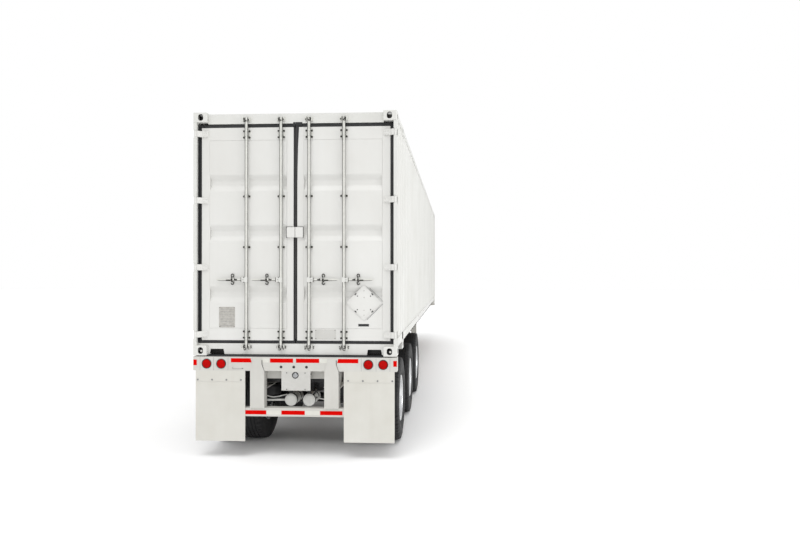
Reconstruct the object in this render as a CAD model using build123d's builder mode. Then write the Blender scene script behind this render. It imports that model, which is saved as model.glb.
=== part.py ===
from build123d import *
import math
import os

# Semi trailer: a 45 foot high-cube container body locked on a three-axle gooseneck chassis.
# Millimetres. +Y is forward, +X is the right side, +Z is up.
# The origin is on the ground, below the centre of the container.

# ---------------------------------------------------------------- container body
box_length = 13716.0
box_width = 2438.0
box_height = 2896.0
deck_height = 1219.0

casting_length = 178.0
casting_width = 162.0
casting_height = 118.0
casting_wall = 26.0
aperture_long = 124.0
aperture_short = 63.5
end_aperture = 80.0
side_aperture = 92.0
aperture_place = 89.0
end_set_back = 762.0
casting_stand = 12.0

post_face = 40.0
post_depth = 113.0
post_nose = 40.0
post_wall = 8.0
front_post_size = 120.0
frame_set_back = 5.0

header_height = 119.0
header_depth = 90.0
sill_height = 141.0
sill_depth = 100.0
sill_lift = 12.0
sill_pocket = 182.0
sill_pocket_top = 157.0
sill_pocket_place = 947.0
sill_pocket_height = 63.0
sill_pocket_depth = 60.0
sheet_wall = 6.0

top_rail_size = 60.0
bottom_rail_height = 100.0
bottom_rail_lift = 104.0
rail_flange = 48.0
rail_wall = 5.0

wall_sheet = 2.0
wall_depth = 36.0
wall_set_back = 8.0
wave_outer = 72.0
wave_inner = 70.0
wave_slope = 68.0
front_wave_depth = 45.0
roof_sheet = 2.0
roof_rib = 20.0
roof_pitch = 556.0
roof_drop = 20.0

floor_board = 28.0
cross_lift = 14.0
cross_height = 112.0
cross_flange = 45.0
cross_wall = 4.0
cross_pitch = 400.0
tunnel_width = 1029.0
tunnel_depth = 120.0
tunnel_length = 3315.0

# ---------------------------------------------------------------- doors
door_recess = 55.0
leaf_depth = 50.0
leaf_edge_gap = 42.0
leaf_bottom = 178.0
leaf_top_drop = 175.0
leaf_centre_gap = 22.0
hinge_member = 99.0
centre_member = 82.0
leaf_head = 154.0
leaf_foot = 146.0
leaf_sheet = 3.0
groove_depth = 36.0
groove_slope = 68.0
groove_flat = 60.0
groove_levels = (726.0, 1458.0, 2057.0)
gasket_lip = 8.0
gasket_depth = 38.0
seal_rise = 20.0
seal_wall = 9.0
door_clearance = 6.0

rod_places = (168.0, 585.0)
rod_radius = 17.0
rod_offset = 28.0
rod_top_drop = 60.0
rod_foot = 82.0
# Rows of level above the base, width and height.
guide_rows = ((248.0, 88.0, 102.0), (1291.0, 95.0, 32.0), (1896.0, 95.0, 32.0), (2637.0, 88.0, 100.0))
guide_plate = 6.0
handle_level = 902.0
handle_length = 360.0
catch_place = 172.0
handle_height = 34.0
handle_thickness = 9.0
cam_height = 44.0
cam_width = 46.0
keeper_wall = 10.0
keeper_clearance = 9.0

hinge_levels = (249.0, 1050.0, 1850.0, 2645.0)
pin_inset = 20.0
pin_radius = 8.0
pin_clearance = 0.5
barrel_radius = 16.0
blade_height = 72.0
blade_half = 8.0
blade_reach = 142.0
lug_thickness = 13.0
hinge_gap = 2.0
hidden_sides = 12
swing_clearance = 5.5

# ---------------------------------------------------------------- chassis
beam_spacing = 890.0
beam_top_gap = 32.0
beam_depth = 387.0
beam_flange = 130.0
beam_flange_wall = 16.0
beam_web = 10.0
neck_top_gap = 8.0
neck_depth = 124.0
neck_rise = 130.0
neck_rise_gap = 60.0
neck_drop = 420.0
cross_tube = 90.0

bolster_height = 166.0
bolster_depth = 130.0
bolster_gap = 12.0
bolster_wall = 8.0
bolster_set_back = 8.0
front_bolster_depth = 110.0

coupler_length = 1850.0
coupler_plate_wall = 10.0
kingpin_set_back = 914.0
kingpin_radius = 25.4
kingpin_head = 36.5
kingpin_length = 84.0
kingpin_collar = 30.0
kingpin_foot = 18.0
kingpin_flange = 90.0
kingpin_gap = 1.5

lamp_radius = 51.0
lamp_places = (880.0, 1056.0)
lamp_drop = 96.0
lamp_proud = 8.0
lamp_sides = 16

guard_upright = 168.0
guard_place = 444.0
guard_strap = 108.0
guard_strap_gap = 22.0
guard_strap_bend = 80.0
guard_strap_round = 60.0
guard_bar = 101.0
guard_bar_low = 501.0
guard_width = 2236.0
guard_depth = 100.0
guard_wall = 8.0
flap_inner = 590.0
flap_outer = 1190.0
flap_low = 205.0
flap_wall = 9.0
flap_hanger_height = 110.0
plate_width = 346.0
plate_height = 230.0
plate_centre = 20.0

leg_set_back = 3558.0
leg_spacing = 1500.0
leg_outer = 140.0
leg_inner = 114.0
leg_wall = 10.0
leg_outer_low = 480.0
leg_foot = 260.0
leg_foot_wall = 24.0

# ---------------------------------------------------------------- running gear
tyre_radius = 542.0
tyre_section = 278.0
tyre_shoulder = 27.0
tyre_shoulder_drop = 70.0
bead_radius = 286.0
bead_width = 230.0
bead_flare = 44.0
twin_spacing = 343.0
outer_tyre_place = 1056.0
wheel_sides = 24
hub_sides = 12
rim_wall = 14.0
rim_disc = 24.0
hub_radius = 142.0
hub_out = 180.0
hub_in = 240.0
spindle_radius = 38.0
spindle_clearance = 1.0

axle_set_back = 1020.0
axle_spacing = 1670.0
axle_radius = 63.5
arm_width = 90.0
arm_height = 96.0
arm_forward = 500.0
arm_rearward = 520.0
arm_seat = 40.0
spring_back = 410.0
spring_radius = 125.0
seat_height = 607.0
pivot_height = 640.0
pivot_radius = 58.0
hanger_wall = 10.0
hanger_length = 190.0
chamber_radius = 82.0
chamber_length = 250.0
tank_radius = 77.0
tank_length = 400.0
tank_place = 112.0
tank_level = 647.0
tank_set_back = 250.0
tank_straps = (40.0, 230.0)

# ---------------------------------------------------------------- places that follow from the sizes
half_length = box_length / 2
half_width = box_width / 2
rear = -half_length
front = half_length
base = deck_height
top = deck_height + box_height
frame_top = top - casting_stand
opening_half = half_width - post_face
opening_low = base + sill_height
opening_high = frame_top - header_height
leaf_rear = rear + door_recess
leaf_front = leaf_rear + leaf_depth
leaf_outer = opening_half - leaf_edge_gap
leaf_low = base + leaf_bottom
leaf_high = top - leaf_top_drop
pin_x = half_width - pin_inset
pin_y = rear + pin_inset
inner_casting_y = half_length - end_set_back - casting_length / 2
outer_casting_y = half_length - casting_length / 2
wall_low = base + bottom_rail_lift + bottom_rail_height
wall_high = frame_top - top_rail_size
wall_rear = rear + frame_set_back + post_depth
wall_front = front - front_post_size
beam_x = beam_spacing / 2
beam_top = base - beam_top_gap
beam_low = beam_top - beam_depth
neck_top = base + tunnel_depth - neck_top_gap
neck_low = neck_top - neck_depth
bolster_rear = rear + bolster_set_back
bolster_top = base - bolster_gap
bolster_low = bolster_top - bolster_height
front_bolster_rear = front - bolster_set_back - bolster_depth
floor_low = base + cross_lift + cross_height
floor_top = floor_low + floor_board
inner_tyre_place = outer_tyre_place - twin_spacing
twin_middle = (outer_tyre_place + inner_tyre_place) / 2
axle_places = [rear + axle_set_back + n * axle_spacing for n in range(3)]
leg_x = leg_spacing / 2
leg_y = front - leg_set_back
kingpin_y = front - kingpin_set_back
sides = (("left", -1), ("right", 1))

os.makedirs("parts", exist_ok=True)


def keep(piece, label):
    """Labels a finished piece and writes it under that label."""
    piece.part.label = label
    export_step(piece.part, "parts/" + label + ".step")


def box(x, y, z):
    """Adds a box that spans the given (low, high) pairs to the open part."""
    size = (x[1] - x[0], y[1] - y[0], z[1] - z[0])
    middle = ((x[0] + x[1]) / 2, (y[0] + y[1]) / 2, (z[0] + z[1]) / 2)
    with Locations(middle):
        Box(*size)


def cut_box(x, y, z):
    """Takes a box that spans the given (low, high) pairs out of the open part."""
    size = (x[1] - x[0], y[1] - y[0], z[1] - z[0])
    middle = ((x[0] + x[1]) / 2, (y[0] + y[1]) / 2, (z[0] + z[1]) / 2)
    with Locations(middle):
        Box(*size, mode=Mode.SUBTRACT)


def span(side, low, high):
    """A (low, high) pair on the side whose sign is given."""
    return (min(side * low, side * high), max(side * low, side * high))


# ---------------------------------------------------------------- corner and intermediate castings
casting_rows = [
    (side * (half_width - casting_width / 2), y, z)
    for side in (-1, 1)
    for y in (-outer_casting_y, -inner_casting_y, inner_casting_y, outer_casting_y)
    for z in (base + casting_height / 2, top - casting_height / 2)
]
casting_room = (
    casting_width - 2 * casting_wall,
    casting_length - 2 * casting_wall,
    casting_height - 2 * casting_wall,
)
side_planes = []
end_planes = []
flat_planes = []
for x, y, z in casting_rows:
    outward = math.copysign(1, x)
    endward = math.copysign(1, y)
    upward = math.copysign(1, z - base - box_height / 2)
    across = outward * (half_width - aperture_place)
    side_planes.append(Plane((x, y, z), x_dir=(0, 1, 0), z_dir=(outward, 0, 0)))
    end_planes.append(Plane((across, y, z), x_dir=(1, 0, 0), z_dir=(0, endward, 0)))
    flat_planes.append(Plane((across, y, z), x_dir=(0, 1, 0), z_dir=(0, 0, upward)))
with BuildPart() as corner_castings:
    with Locations(*casting_rows):
        Box(casting_width, casting_length, casting_height)
        Box(*casting_room, mode=Mode.SUBTRACT)
    with BuildSketch(*side_planes):
        Rectangle(side_aperture, aperture_short)
    extrude(amount=casting_width, mode=Mode.SUBTRACT)
    with BuildSketch(*end_planes):
        Rectangle(aperture_short, end_aperture)
    extrude(amount=casting_length, mode=Mode.SUBTRACT)
    with BuildSketch(*flat_planes):
        Rectangle(aperture_long, aperture_short)
    extrude(amount=casting_height, mode=Mode.SUBTRACT)
keep(corner_castings, "corner_castings")

# ---------------------------------------------------------------- posts
post_low = base + casting_height
post_high = top - casting_height
post_rear = rear + frame_set_back
notch_in = half_width - pin_inset - blade_half - swing_clearance
notch_front = pin_y + blade_half + swing_clearance
notch_side_front = pin_y + 78.0
bracket_half = blade_height / 2 + hinge_gap + lug_thickness
with BuildPart() as rear_posts:
    for name, side in sides:
        with BuildSketch(Plane.XY.offset(post_low)):
            with BuildLine():
                Polyline(
                    (side * half_width, post_rear),
                    (side * half_width, post_rear + post_depth),
                    (side * (half_width - post_wall), post_rear + post_depth),
                    (side * (half_width - post_wall), post_rear + post_nose),
                    (side * (opening_half + post_wall), post_rear + post_nose),
                    (side * (opening_half + post_wall), post_rear + post_depth),
                    (side * opening_half, post_rear + post_depth),
                    (side * opening_half, post_rear),
                    close=True,
                )
            make_face()
        extrude(amount=post_high - post_low)
        for level in hinge_levels:
            height = (base + level - bracket_half, base + level + bracket_half)
            cut_box(span(side, opening_half - 1, half_width + 1), (post_rear - 1, notch_front), height)
            cut_box(span(side, notch_in, half_width + 1), (post_rear - 1, notch_side_front), height)
keep(rear_posts, "rear_posts")

with BuildPart() as front_posts:
    for name, side in sides:
        box(
            span(side, half_width - front_post_size, half_width),
            (front - frame_set_back - front_post_size, front - frame_set_back),
            (post_low, post_high),
        )
        cut_box(
            span(side, half_width - front_post_size - 1, half_width - post_wall),
            (front - frame_set_back - front_post_size - 1, front - frame_set_back - post_wall),
            (post_low - 1, post_high + 1),
        )
keep(front_posts, "front_posts")

# ---------------------------------------------------------------- hinge brackets and pins on the posts
with BuildPart() as hinge_brackets:
    lug_lows = [base + n + d for n in hinge_levels for d in (-bracket_half, bracket_half - lug_thickness)]
    round_off = barrel_radius * 0.42
    for name, side in sides:
        with BuildSketch(*[Plane.XY.offset(low) for low in lug_lows]):
            with BuildLine():
                Polyline(
                    (side * (pin_x - round_off), pin_y - barrel_radius),
                    (side * (pin_x + round_off), pin_y - barrel_radius),
                    (side * (pin_x + barrel_radius), pin_y - round_off),
                    (side * (pin_x + barrel_radius), notch_side_front),
                    (side * notch_in, notch_side_front),
                    (side * notch_in, notch_front),
                    (side * opening_half, notch_front),
                    (side * opening_half, pin_y - round_off),
                    close=True,
                )
            make_face()
        extrude(amount=lug_thickness)
        with BuildSketch(*[Plane.XY.offset(base + n - blade_height / 2 - hinge_gap) for n in hinge_levels]):
            with Locations((side * pin_x, pin_y)):
                Circle(pin_radius)
        extrude(amount=blade_height + 2 * hinge_gap)
keep(hinge_brackets, "hinge_brackets")

# ---------------------------------------------------------------- door header and sill
with BuildPart() as door_frame:
    header_end = half_width - casting_width
    box((-header_end, header_end), (leaf_rear, leaf_rear + header_depth), (opening_high, frame_top))
    cut_box(
        (-header_end, header_end),
        (leaf_rear + sheet_wall, leaf_rear + header_depth + 1),
        (opening_high + sheet_wall, frame_top - sheet_wall),
    )
    box((-header_end, header_end), (leaf_rear, leaf_rear + sill_depth), (base + sill_lift, base + casting_height))
    box((-opening_half, opening_half), (leaf_rear, leaf_rear + sill_depth), (base + casting_height, opening_low))
    cut_box(
        (-header_end, header_end),
        (leaf_rear + sheet_wall, leaf_rear + sill_depth + 1),
        (base + sill_lift + sheet_wall, opening_low - sheet_wall),
    )
    with BuildSketch(Plane.XZ.offset(-(leaf_rear - 1))):
        for name, side in sides:
            with BuildLine():
                Polyline(
                    (side * sill_pocket_place - sill_pocket / 2, base + sill_lift - 1),
                    (side * sill_pocket_place + sill_pocket / 2, base + sill_lift - 1),
                    (side * sill_pocket_place + sill_pocket_top / 2, base + sill_lift + sill_pocket_height),
                    (side * sill_pocket_place - sill_pocket_top / 2, base + sill_lift + sill_pocket_height),
                    close=True,
                )
            make_face()
    extrude(amount=-(sill_pocket_depth + 1), mode=Mode.SUBTRACT)
keep(door_frame, "door_frame")

# ---------------------------------------------------------------- cam keepers on header and sill
keeper_out = rod_offset + rod_radius
with BuildPart() as cam_keepers:
    for name, side in sides:
        for place in rod_places:
            for low, high in (
                (base + rod_foot - 4, base + rod_foot + cam_height + 4),
                (top - rod_top_drop - cam_height - 4, top - rod_top_drop + 4),
            ):
                for cheek in (-1, 1):
                    inner = cam_width / 2 + keeper_clearance
                    x = side * place + cheek * (inner + keeper_wall / 2)
                    box((x - keeper_wall / 2, x + keeper_wall / 2), (leaf_rear - keeper_out, leaf_rear), (low, high))
keep(cam_keepers, "cam_keepers")

# ---------------------------------------------------------------- side rails
inner_rails = (
    (-outer_casting_y + casting_length / 2, -inner_casting_y - casting_length / 2),
    (-inner_casting_y + casting_length / 2, inner_casting_y - casting_length / 2),
    (inner_casting_y + casting_length / 2, outer_casting_y - casting_length / 2),
)
rail_side = half_width - 3.0
with BuildPart() as top_side_rails:
    for name, side in sides:
        for low, high in inner_rails:
            box(span(side, rail_side - top_rail_size, rail_side), (low, high), (frame_top - top_rail_size, frame_top))
keep(top_side_rails, "top_side_rails")

with BuildPart() as bottom_side_rails:
    for name, side in sides:
        for low, high in inner_rails:
            with BuildSketch(Plane.XZ.offset(-low)):
                with BuildLine():
                    Polyline(
                        (side * rail_side, wall_low),
                        (side * (rail_side - rail_flange), wall_low),
                        (side * (rail_side - rail_flange), wall_low - rail_wall),
                        (side * (rail_side - rail_wall), wall_low - rail_wall),
                        (side * (rail_side - rail_wall), base + bottom_rail_lift + rail_wall),
                        (side * (rail_side - rail_flange), base + bottom_rail_lift + rail_wall),
                        (side * (rail_side - rail_flange), base + bottom_rail_lift),
                        (side * rail_side, base + bottom_rail_lift),
                        close=True,
                    )
                make_face()
            extrude(amount=-(high - low))
keep(bottom_side_rails, "bottom_side_rails")

# ---------------------------------------------------------------- corrugated side walls
wave_pitch = wave_outer + wave_inner + 2 * wave_slope


def wave_line(start, end, outer, depth, sheet):
    """The closed outline of a folded sheet along the first axis, with its outer flats at `outer`."""
    length = end - start
    count = max(1, int((length - wave_outer) // wave_pitch))
    margin = (length - count * wave_pitch - wave_outer) / 2
    line = [(start, 0.0)]
    at = start + margin + wave_outer
    for n in range(count):
        line += [(at, 0.0), (at + wave_slope, depth)]
        line += [(at + wave_slope + wave_inner, depth), (at + 2 * wave_slope + wave_inner, 0.0)]
        at += wave_pitch
    line.append((end, 0.0))
    near = [(a, outer + b) for a, b in line]
    far = [(a, outer + b + sheet) for a, b in reversed(line)]
    return near + far


side_wall_line = wave_line(wall_rear, wall_front, wall_set_back, wall_depth, wall_sheet)
for name, side in sides:
    with BuildPart() as side_wall:
        with BuildSketch(Plane.XY.offset(wall_low)):
            with BuildLine():
                Polyline(*[(side * (half_width - b), a) for a, b in side_wall_line], close=True)
            make_face()
        extrude(amount=wall_high - wall_low)
        for y in (-outer_casting_y, -inner_casting_y, inner_casting_y, outer_casting_y):
            half = casting_length / 2
            cut_box(span(side, half_width - casting_width, half_width), (y - half, y + half), (top - casting_height, top))
    keep(side_wall, name + "_wall")

# ---------------------------------------------------------------- front wall and its rails
front_inner = half_width - front_post_size
front_rail_low = base + casting_height
front_sill_high = wall_low
with BuildPart() as front_wall:
    front_line = wave_line(-front_inner, front_inner, frame_set_back + wall_set_back, front_wave_depth, wall_sheet)
    with BuildSketch(Plane.XY.offset(front_sill_high)):
        with BuildLine():
            Polyline(*[(a, front - b) for a, b in front_line], close=True)
        make_face()
    extrude(amount=wall_high - front_sill_high)
    for name, side in sides:
        cut_box(span(side, half_width - casting_width, half_width), (front - casting_length, front), (top - casting_height, top))
keep(front_wall, "front_wall")

with BuildPart() as front_rails:
    rail_rear = front - frame_set_back - top_rail_size
    rail_front = front - frame_set_back
    rail_end = half_width - casting_width
    box((-rail_end, rail_end), (rail_rear, rail_front), (wall_high, frame_top))
    for name, side in sides:
        box(span(side, tunnel_width / 2, rail_end), (rail_rear, rail_front), (base + bottom_rail_lift, front_sill_high))
    box(
        (-tunnel_width / 2, tunnel_width / 2),
        (rail_rear, rail_front),
        (base + tunnel_depth + 1, front_sill_high),
    )
keep(front_rails, "front_rails")

# ---------------------------------------------------------------- roof
roof_half = half_width - 3.0 - top_rail_size
roof_top = frame_top - 2.0
with BuildPart() as roof_panel:
    roof_rear = leaf_rear + header_depth
    roof_front = front - frame_set_back - top_rail_size
    count = int((roof_front - roof_rear) // roof_pitch)
    at = roof_rear + (roof_front - roof_rear - count * roof_pitch) / 2
    line = [(roof_rear, 0.0)]
    for n in range(count):
        quarter = roof_pitch / 4
        line += [(at + quarter * 0.6, 0.0), (at + quarter, -roof_rib)]
        line += [(at + quarter * 3, -roof_rib), (at + quarter * 3.4, 0.0)]
        at += roof_pitch
    line.append((roof_front, 0.0))
    outline = [(a, roof_top + b) for a, b in line]
    outline += [(a, roof_top + b - roof_sheet) for a, b in reversed(line)]
    with BuildSketch(Plane.YZ.offset(-roof_half)):
        with BuildLine():
            Polyline(*outline, close=True)
        make_face()
    extrude(amount=2 * roof_half)
    with Locations(*[row for row in casting_rows if row[2] > base + box_height / 2]):
        Box(casting_width, casting_length, casting_height, mode=Mode.SUBTRACT)
keep(roof_panel, "roof_panel")

# ---------------------------------------------------------------- floor and its crossmembers
floor_half = half_width - 3.0 - rail_flange
floor_rear = leaf_rear + sill_depth
floor_front = front - frame_set_back - top_rail_size
with BuildPart() as cargo_floor:
    box((-floor_half, floor_half), (floor_rear, floor_front), (floor_low, floor_top))
keep(cargo_floor, "cargo_floor")

cross_end = half_width - 3.0 - rail_flange
tunnel_rear = front - tunnel_length
with BuildPart() as floor_crossmembers:
    first = floor_rear + cross_pitch / 2
    count = int((floor_front - first) // cross_pitch) + 1
    for n in range(count):
        y = first + n * cross_pitch
        spans = [(-cross_end, cross_end)]
        if y + cross_flange > tunnel_rear:
            spans = [(-cross_end, -tunnel_width / 2), (tunnel_width / 2, cross_end)]
        for low, high in spans:
            with BuildSketch(Plane.YZ.offset(low)):
                with BuildLine():
                    Polyline(
                        (y, floor_low - cross_height),
                        (y + cross_flange, floor_low - cross_height),
                        (y + cross_flange, floor_low - cross_height + cross_wall),
                        (y + cross_wall, floor_low - cross_height + cross_wall),
                        (y + cross_wall, floor_low - cross_wall),
                        (y + cross_flange, floor_low - cross_wall),
                        (y + cross_flange, floor_low),
                        (y, floor_low),
                        close=True,
                    )
                make_face()
            extrude(amount=high - low)
    with Locations(*[row for row in casting_rows if row[2] < base + casting_height]):
        Box(casting_width, casting_length, casting_height, mode=Mode.SUBTRACT)
keep(floor_crossmembers, "floor_crossmembers")

# ---------------------------------------------------------------- door leaves with their hinge blades
leaf_inner = leaf_centre_gap
panel_low = leaf_low + leaf_foot
panel_high = leaf_high - leaf_head
panel_line = [(panel_low, 0.0)]
for level in groove_levels:
    half = groove_flat / 2
    z = base + level
    panel_line += [(z - half - groove_slope, 0.0), (z - half, groove_depth)]
    panel_line += [(z + half, groove_depth), (z + half + groove_slope, 0.0)]
panel_line.append((panel_high, 0.0))
blade_crank = pin_inset + blade_half + swing_clearance + 3
blade_end = barrel_radius * 0.42
blade_outline = [
    (pin_x + blade_end, pin_y - barrel_radius),
    (pin_x - blade_end, pin_y - barrel_radius),
    (pin_x - barrel_radius, pin_y - blade_half),
    (pin_x - blade_crank, pin_y - blade_half),
    (pin_x - blade_crank - 32, leaf_rear - 14),
    (pin_x - blade_reach, leaf_rear - 10),
    (pin_x - blade_reach, leaf_rear),
    (leaf_outer - 2, leaf_rear),
    (pin_x - blade_crank - 4, pin_y + blade_half + 2),
    (pin_x - blade_crank + 4, pin_y + blade_half),
    (pin_x - barrel_radius, pin_y + blade_half),
    (pin_x - blade_end, pin_y + barrel_radius),
    (pin_x + blade_end, pin_y + barrel_radius),
    (pin_x + barrel_radius, pin_y + blade_end),
    (pin_x + barrel_radius, pin_y - blade_end),
]
blade_planes = [Plane.XY.offset(base + level - blade_height / 2) for level in hinge_levels]
with BuildPart() as right_door_leaf:
    depth = (leaf_rear, leaf_front)
    box((leaf_outer - hinge_member, leaf_outer), depth, (leaf_low, leaf_high))
    box((leaf_inner, leaf_inner + centre_member), depth, (leaf_low, leaf_high))
    panel_across = (leaf_inner + centre_member, leaf_outer - hinge_member)
    box(panel_across, depth, (leaf_low, panel_low))
    box(panel_across, depth, (panel_high, leaf_high))
    with BuildSketch(Plane.YZ.offset(panel_across[0])):
        with BuildLine():
            near = [(leaf_rear + b, a) for a, b in panel_line]
            far = [(leaf_rear + b + leaf_sheet, a) for a, b in reversed(panel_line)]
            Polyline(*(near + far), close=True)
        make_face()
    extrude(amount=panel_across[1] - panel_across[0])
    with BuildSketch(*blade_planes):
        with BuildLine():
            Polyline(*blade_outline, close=True)
        make_face()
        with Locations((pin_x, pin_y)):
            Circle(pin_radius + pin_clearance, mode=Mode.SUBTRACT)
    extrude(amount=blade_height)
keep(right_door_leaf, "right_door_leaf")

with BuildPart() as left_door_leaf:
    mirror(right_door_leaf.part, about=Plane.YZ)
keep(left_door_leaf, "left_door_leaf")

# ---------------------------------------------------------------- door gaskets round the leaves
gasket_outer = opening_half - door_clearance
gasket_high = opening_high - door_clearance
gasket_low = opening_low + door_clearance
gasket_inner = door_clearance
gasket_rear = leaf_rear + gasket_lip
with BuildPart() as right_door_gasket:
    depth = (gasket_rear, gasket_rear + gasket_depth)
    box((gasket_inner, gasket_outer), depth, (gasket_low, gasket_high))
    seal = (gasket_rear - seal_rise, gasket_rear)
    box((gasket_outer - seal_wall, gasket_outer), seal, (gasket_low, gasket_high))
    cut_box((leaf_inner, leaf_outer), (depth[0] - 1, depth[1] + 1), (leaf_low, leaf_high))
    for level in hinge_levels:
        room = blade_height / 2 + hinge_gap
        cut_box((gasket_outer - seal_wall - 1, gasket_outer + 1), (seal[0] - 1, seal[1]), (base + level - room, base + level + room))
keep(right_door_gasket, "right_door_gasket")

with BuildPart() as left_door_gasket:
    mirror(right_door_gasket.part, about=Plane.YZ)
keep(left_door_gasket, "left_door_gasket")

# ---------------------------------------------------------------- lock gear: rods, cams, guides and handles
rod_y = leaf_rear - rod_offset
rod_low = base + rod_foot
rod_high = top - rod_top_drop
rod_sides = 10
with BuildPart() as right_lock_gear:
    for place in rod_places:
        with BuildSketch(Plane.XY.offset(rod_low)):
            with Locations((place, rod_y)):
                RegularPolygon(radius=rod_radius, side_count=rod_sides)
        extrude(amount=rod_high - rod_low)
        cam_across = (place - cam_width / 2, place + cam_width / 2)
        for low in (rod_low, rod_high - cam_height):
            box(cam_across, (rod_y - 12, leaf_rear - 9), (low, low + cam_height))
        strap_across = (place - 25, place + 25)
        for level, width, height in guide_rows:
            z = base + level
            strap = height * 0.35
            box((place - width / 2, place + width / 2), (leaf_rear - guide_plate, leaf_rear), (z - height / 2, z + height / 2))
            box(strap_across, (rod_y - rod_radius - 5, leaf_rear - guide_plate), (z - strap, z + strap))
        z = base + handle_level
        handle_rear = rod_y - 14
        handle_front = handle_rear + handle_thickness
        catch = place + catch_place
        box(strap_across, (rod_y - rod_radius - 5, leaf_rear - 4), (z - 30, z + 30))
        tip = place + handle_length
        with BuildSketch(Plane.XZ.offset(-handle_rear)):
            with BuildLine():
                Polyline(
                    (place, z - handle_height * 0.4),
                    (tip - 120, z - handle_height / 2),
                    (tip - 30, z - handle_height * 0.38),
                    (tip, z),
                    (tip - 30, z + handle_height * 0.38),
                    (tip - 120, z + handle_height / 2),
                    (place, z + handle_height * 0.4),
                    close=True,
                )
            make_face()
        extrude(amount=-handle_thickness)
        box((catch - 12, catch + 12), (handle_front, leaf_rear), (z - 20, z + 20))
        box((catch - 22, catch + 22), (leaf_rear - guide_plate, leaf_rear), (z - 60, z + 60))
keep(right_lock_gear, "right_lock_gear")

with BuildPart() as left_lock_gear:
    mirror(right_lock_gear.part, about=Plane.YZ)
keep(left_lock_gear, "left_lock_gear")

# ---------------------------------------------------------------- main beams with the gooseneck
beam_rear = bolster_rear + bolster_depth
neck_foot = tunnel_rear + neck_rise_gap
neck_front = front_bolster_rear
beam_outline = [
    (beam_rear, beam_low),
    (beam_rear, beam_top),
    (neck_foot, beam_top),
    (neck_foot + neck_rise, neck_top),
    (neck_front, neck_top),
    (neck_front, neck_low),
    (neck_foot + neck_drop, neck_low),
    (neck_foot - neck_drop, beam_low),
]
with BuildPart() as main_beams:
    for name, side in sides:
        with BuildSketch(Plane.YZ.offset(side * beam_x - beam_web / 2)):
            with BuildLine():
                Polyline(*beam_outline, close=True)
            make_face()
        extrude(amount=beam_web)
        upper = beam_outline[1:5]
        lower = beam_outline[5:] + beam_outline[:1]
        with BuildSketch(Plane.YZ.offset(side * beam_x - beam_flange / 2)):
            with BuildLine():
                wall = beam_flange_wall
                Polyline(*upper, *[(y, z - wall) for y, z in reversed(upper)], close=True)
            make_face()
            with BuildLine():
                Polyline(*lower, *[(y, z + wall) for y, z in reversed(lower)], close=True)
            make_face()
        extrude(amount=beam_flange)
keep(main_beams, "main_beams")

# ---------------------------------------------------------------- chassis crossmembers
beam_inner = beam_x - beam_web / 2
with BuildPart() as chassis_crossmembers:
    cross_ys = [y + d for y in axle_places for d in (arm_forward, -spring_back)]
    cross_ys += [axle_places[-1] + axle_spacing + n * 1450.0 for n in range(4)]
    for y in cross_ys:
        if y < neck_foot - neck_drop:
            middle = (beam_top + beam_low) / 2
            box((-beam_inner, beam_inner), (y - cross_tube / 2, y + cross_tube / 2), (middle - cross_tube, middle + cross_tube))
    neck_middle = (neck_top + neck_low) / 2
    for n in range(4):
        y = neck_front - 150.0 - n * 760.0
        box((-beam_inner, beam_inner), (y - 30, y + 30), (neck_low + 20, neck_top - 20))
keep(chassis_crossmembers, "chassis_crossmembers")

# ---------------------------------------------------------------- coupler plate and kingpin
with BuildPart() as coupler_plate:
    plate_half = beam_x + beam_flange / 2
    with BuildSketch(Plane.XY.offset(neck_low - coupler_plate_wall)):
        with BuildLine():
            Polyline(
                (-plate_half, neck_front - coupler_length),
                (-plate_half, neck_front - 260),
                (-plate_half + 150, neck_front),
                (plate_half - 150, neck_front),
                (plate_half, neck_front - 260),
                (plate_half, neck_front - coupler_length),
                close=True,
            )
        make_face()
        with Locations((0, kingpin_y)):
            RegularPolygon(radius=kingpin_head + kingpin_gap, side_count=hub_sides, major_radius=False, mode=Mode.SUBTRACT)
    extrude(amount=coupler_plate_wall)
keep(coupler_plate, "coupler_plate")

with BuildPart() as kingpin:
    plate_low = neck_low - coupler_plate_wall
    with BuildSketch(Plane.XY.offset(neck_low)):
        with Locations((0, kingpin_y)):
            RegularPolygon(radius=kingpin_flange, side_count=hub_sides)
    extrude(amount=12)
    with BuildSketch(Plane.XY.offset(plate_low - kingpin_collar)):
        with Locations((0, kingpin_y)):
            RegularPolygon(radius=kingpin_head, side_count=hub_sides)
    extrude(amount=kingpin_collar + coupler_plate_wall)
    with BuildSketch(Plane.XY.offset(plate_low - kingpin_collar)):
        with Locations((0, kingpin_y)):
            Circle(kingpin_radius)
    extrude(amount=kingpin_collar + kingpin_foot - kingpin_length)
    with BuildSketch(Plane.XY.offset(plate_low - kingpin_length)):
        with Locations((0, kingpin_y)):
            RegularPolygon(radius=kingpin_head, side_count=hub_sides)
    extrude(amount=kingpin_foot)
keep(kingpin, "kingpin")

# ---------------------------------------------------------------- bolsters
with BuildPart() as front_bolster:
    with BuildSketch(Plane.XZ.offset(-front_bolster_rear)):
        with BuildLine():
            Polyline(
                (-half_width + 3, bolster_top),
                (half_width - 3, bolster_top),
                (half_width - 3, bolster_top - front_bolster_depth + 24),
                (plate_half, bolster_top - front_bolster_depth),
                (-plate_half, bolster_top - front_bolster_depth),
                (-half_width + 3, bolster_top - front_bolster_depth + 24),
                close=True,
            )
        make_face()
    extrude(amount=-bolster_depth)
    box((-plate_half, plate_half), (front_bolster_rear, front_bolster_rear + 60), (bolster_top, neck_top))
keep(front_bolster, "front_bolster")

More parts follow.
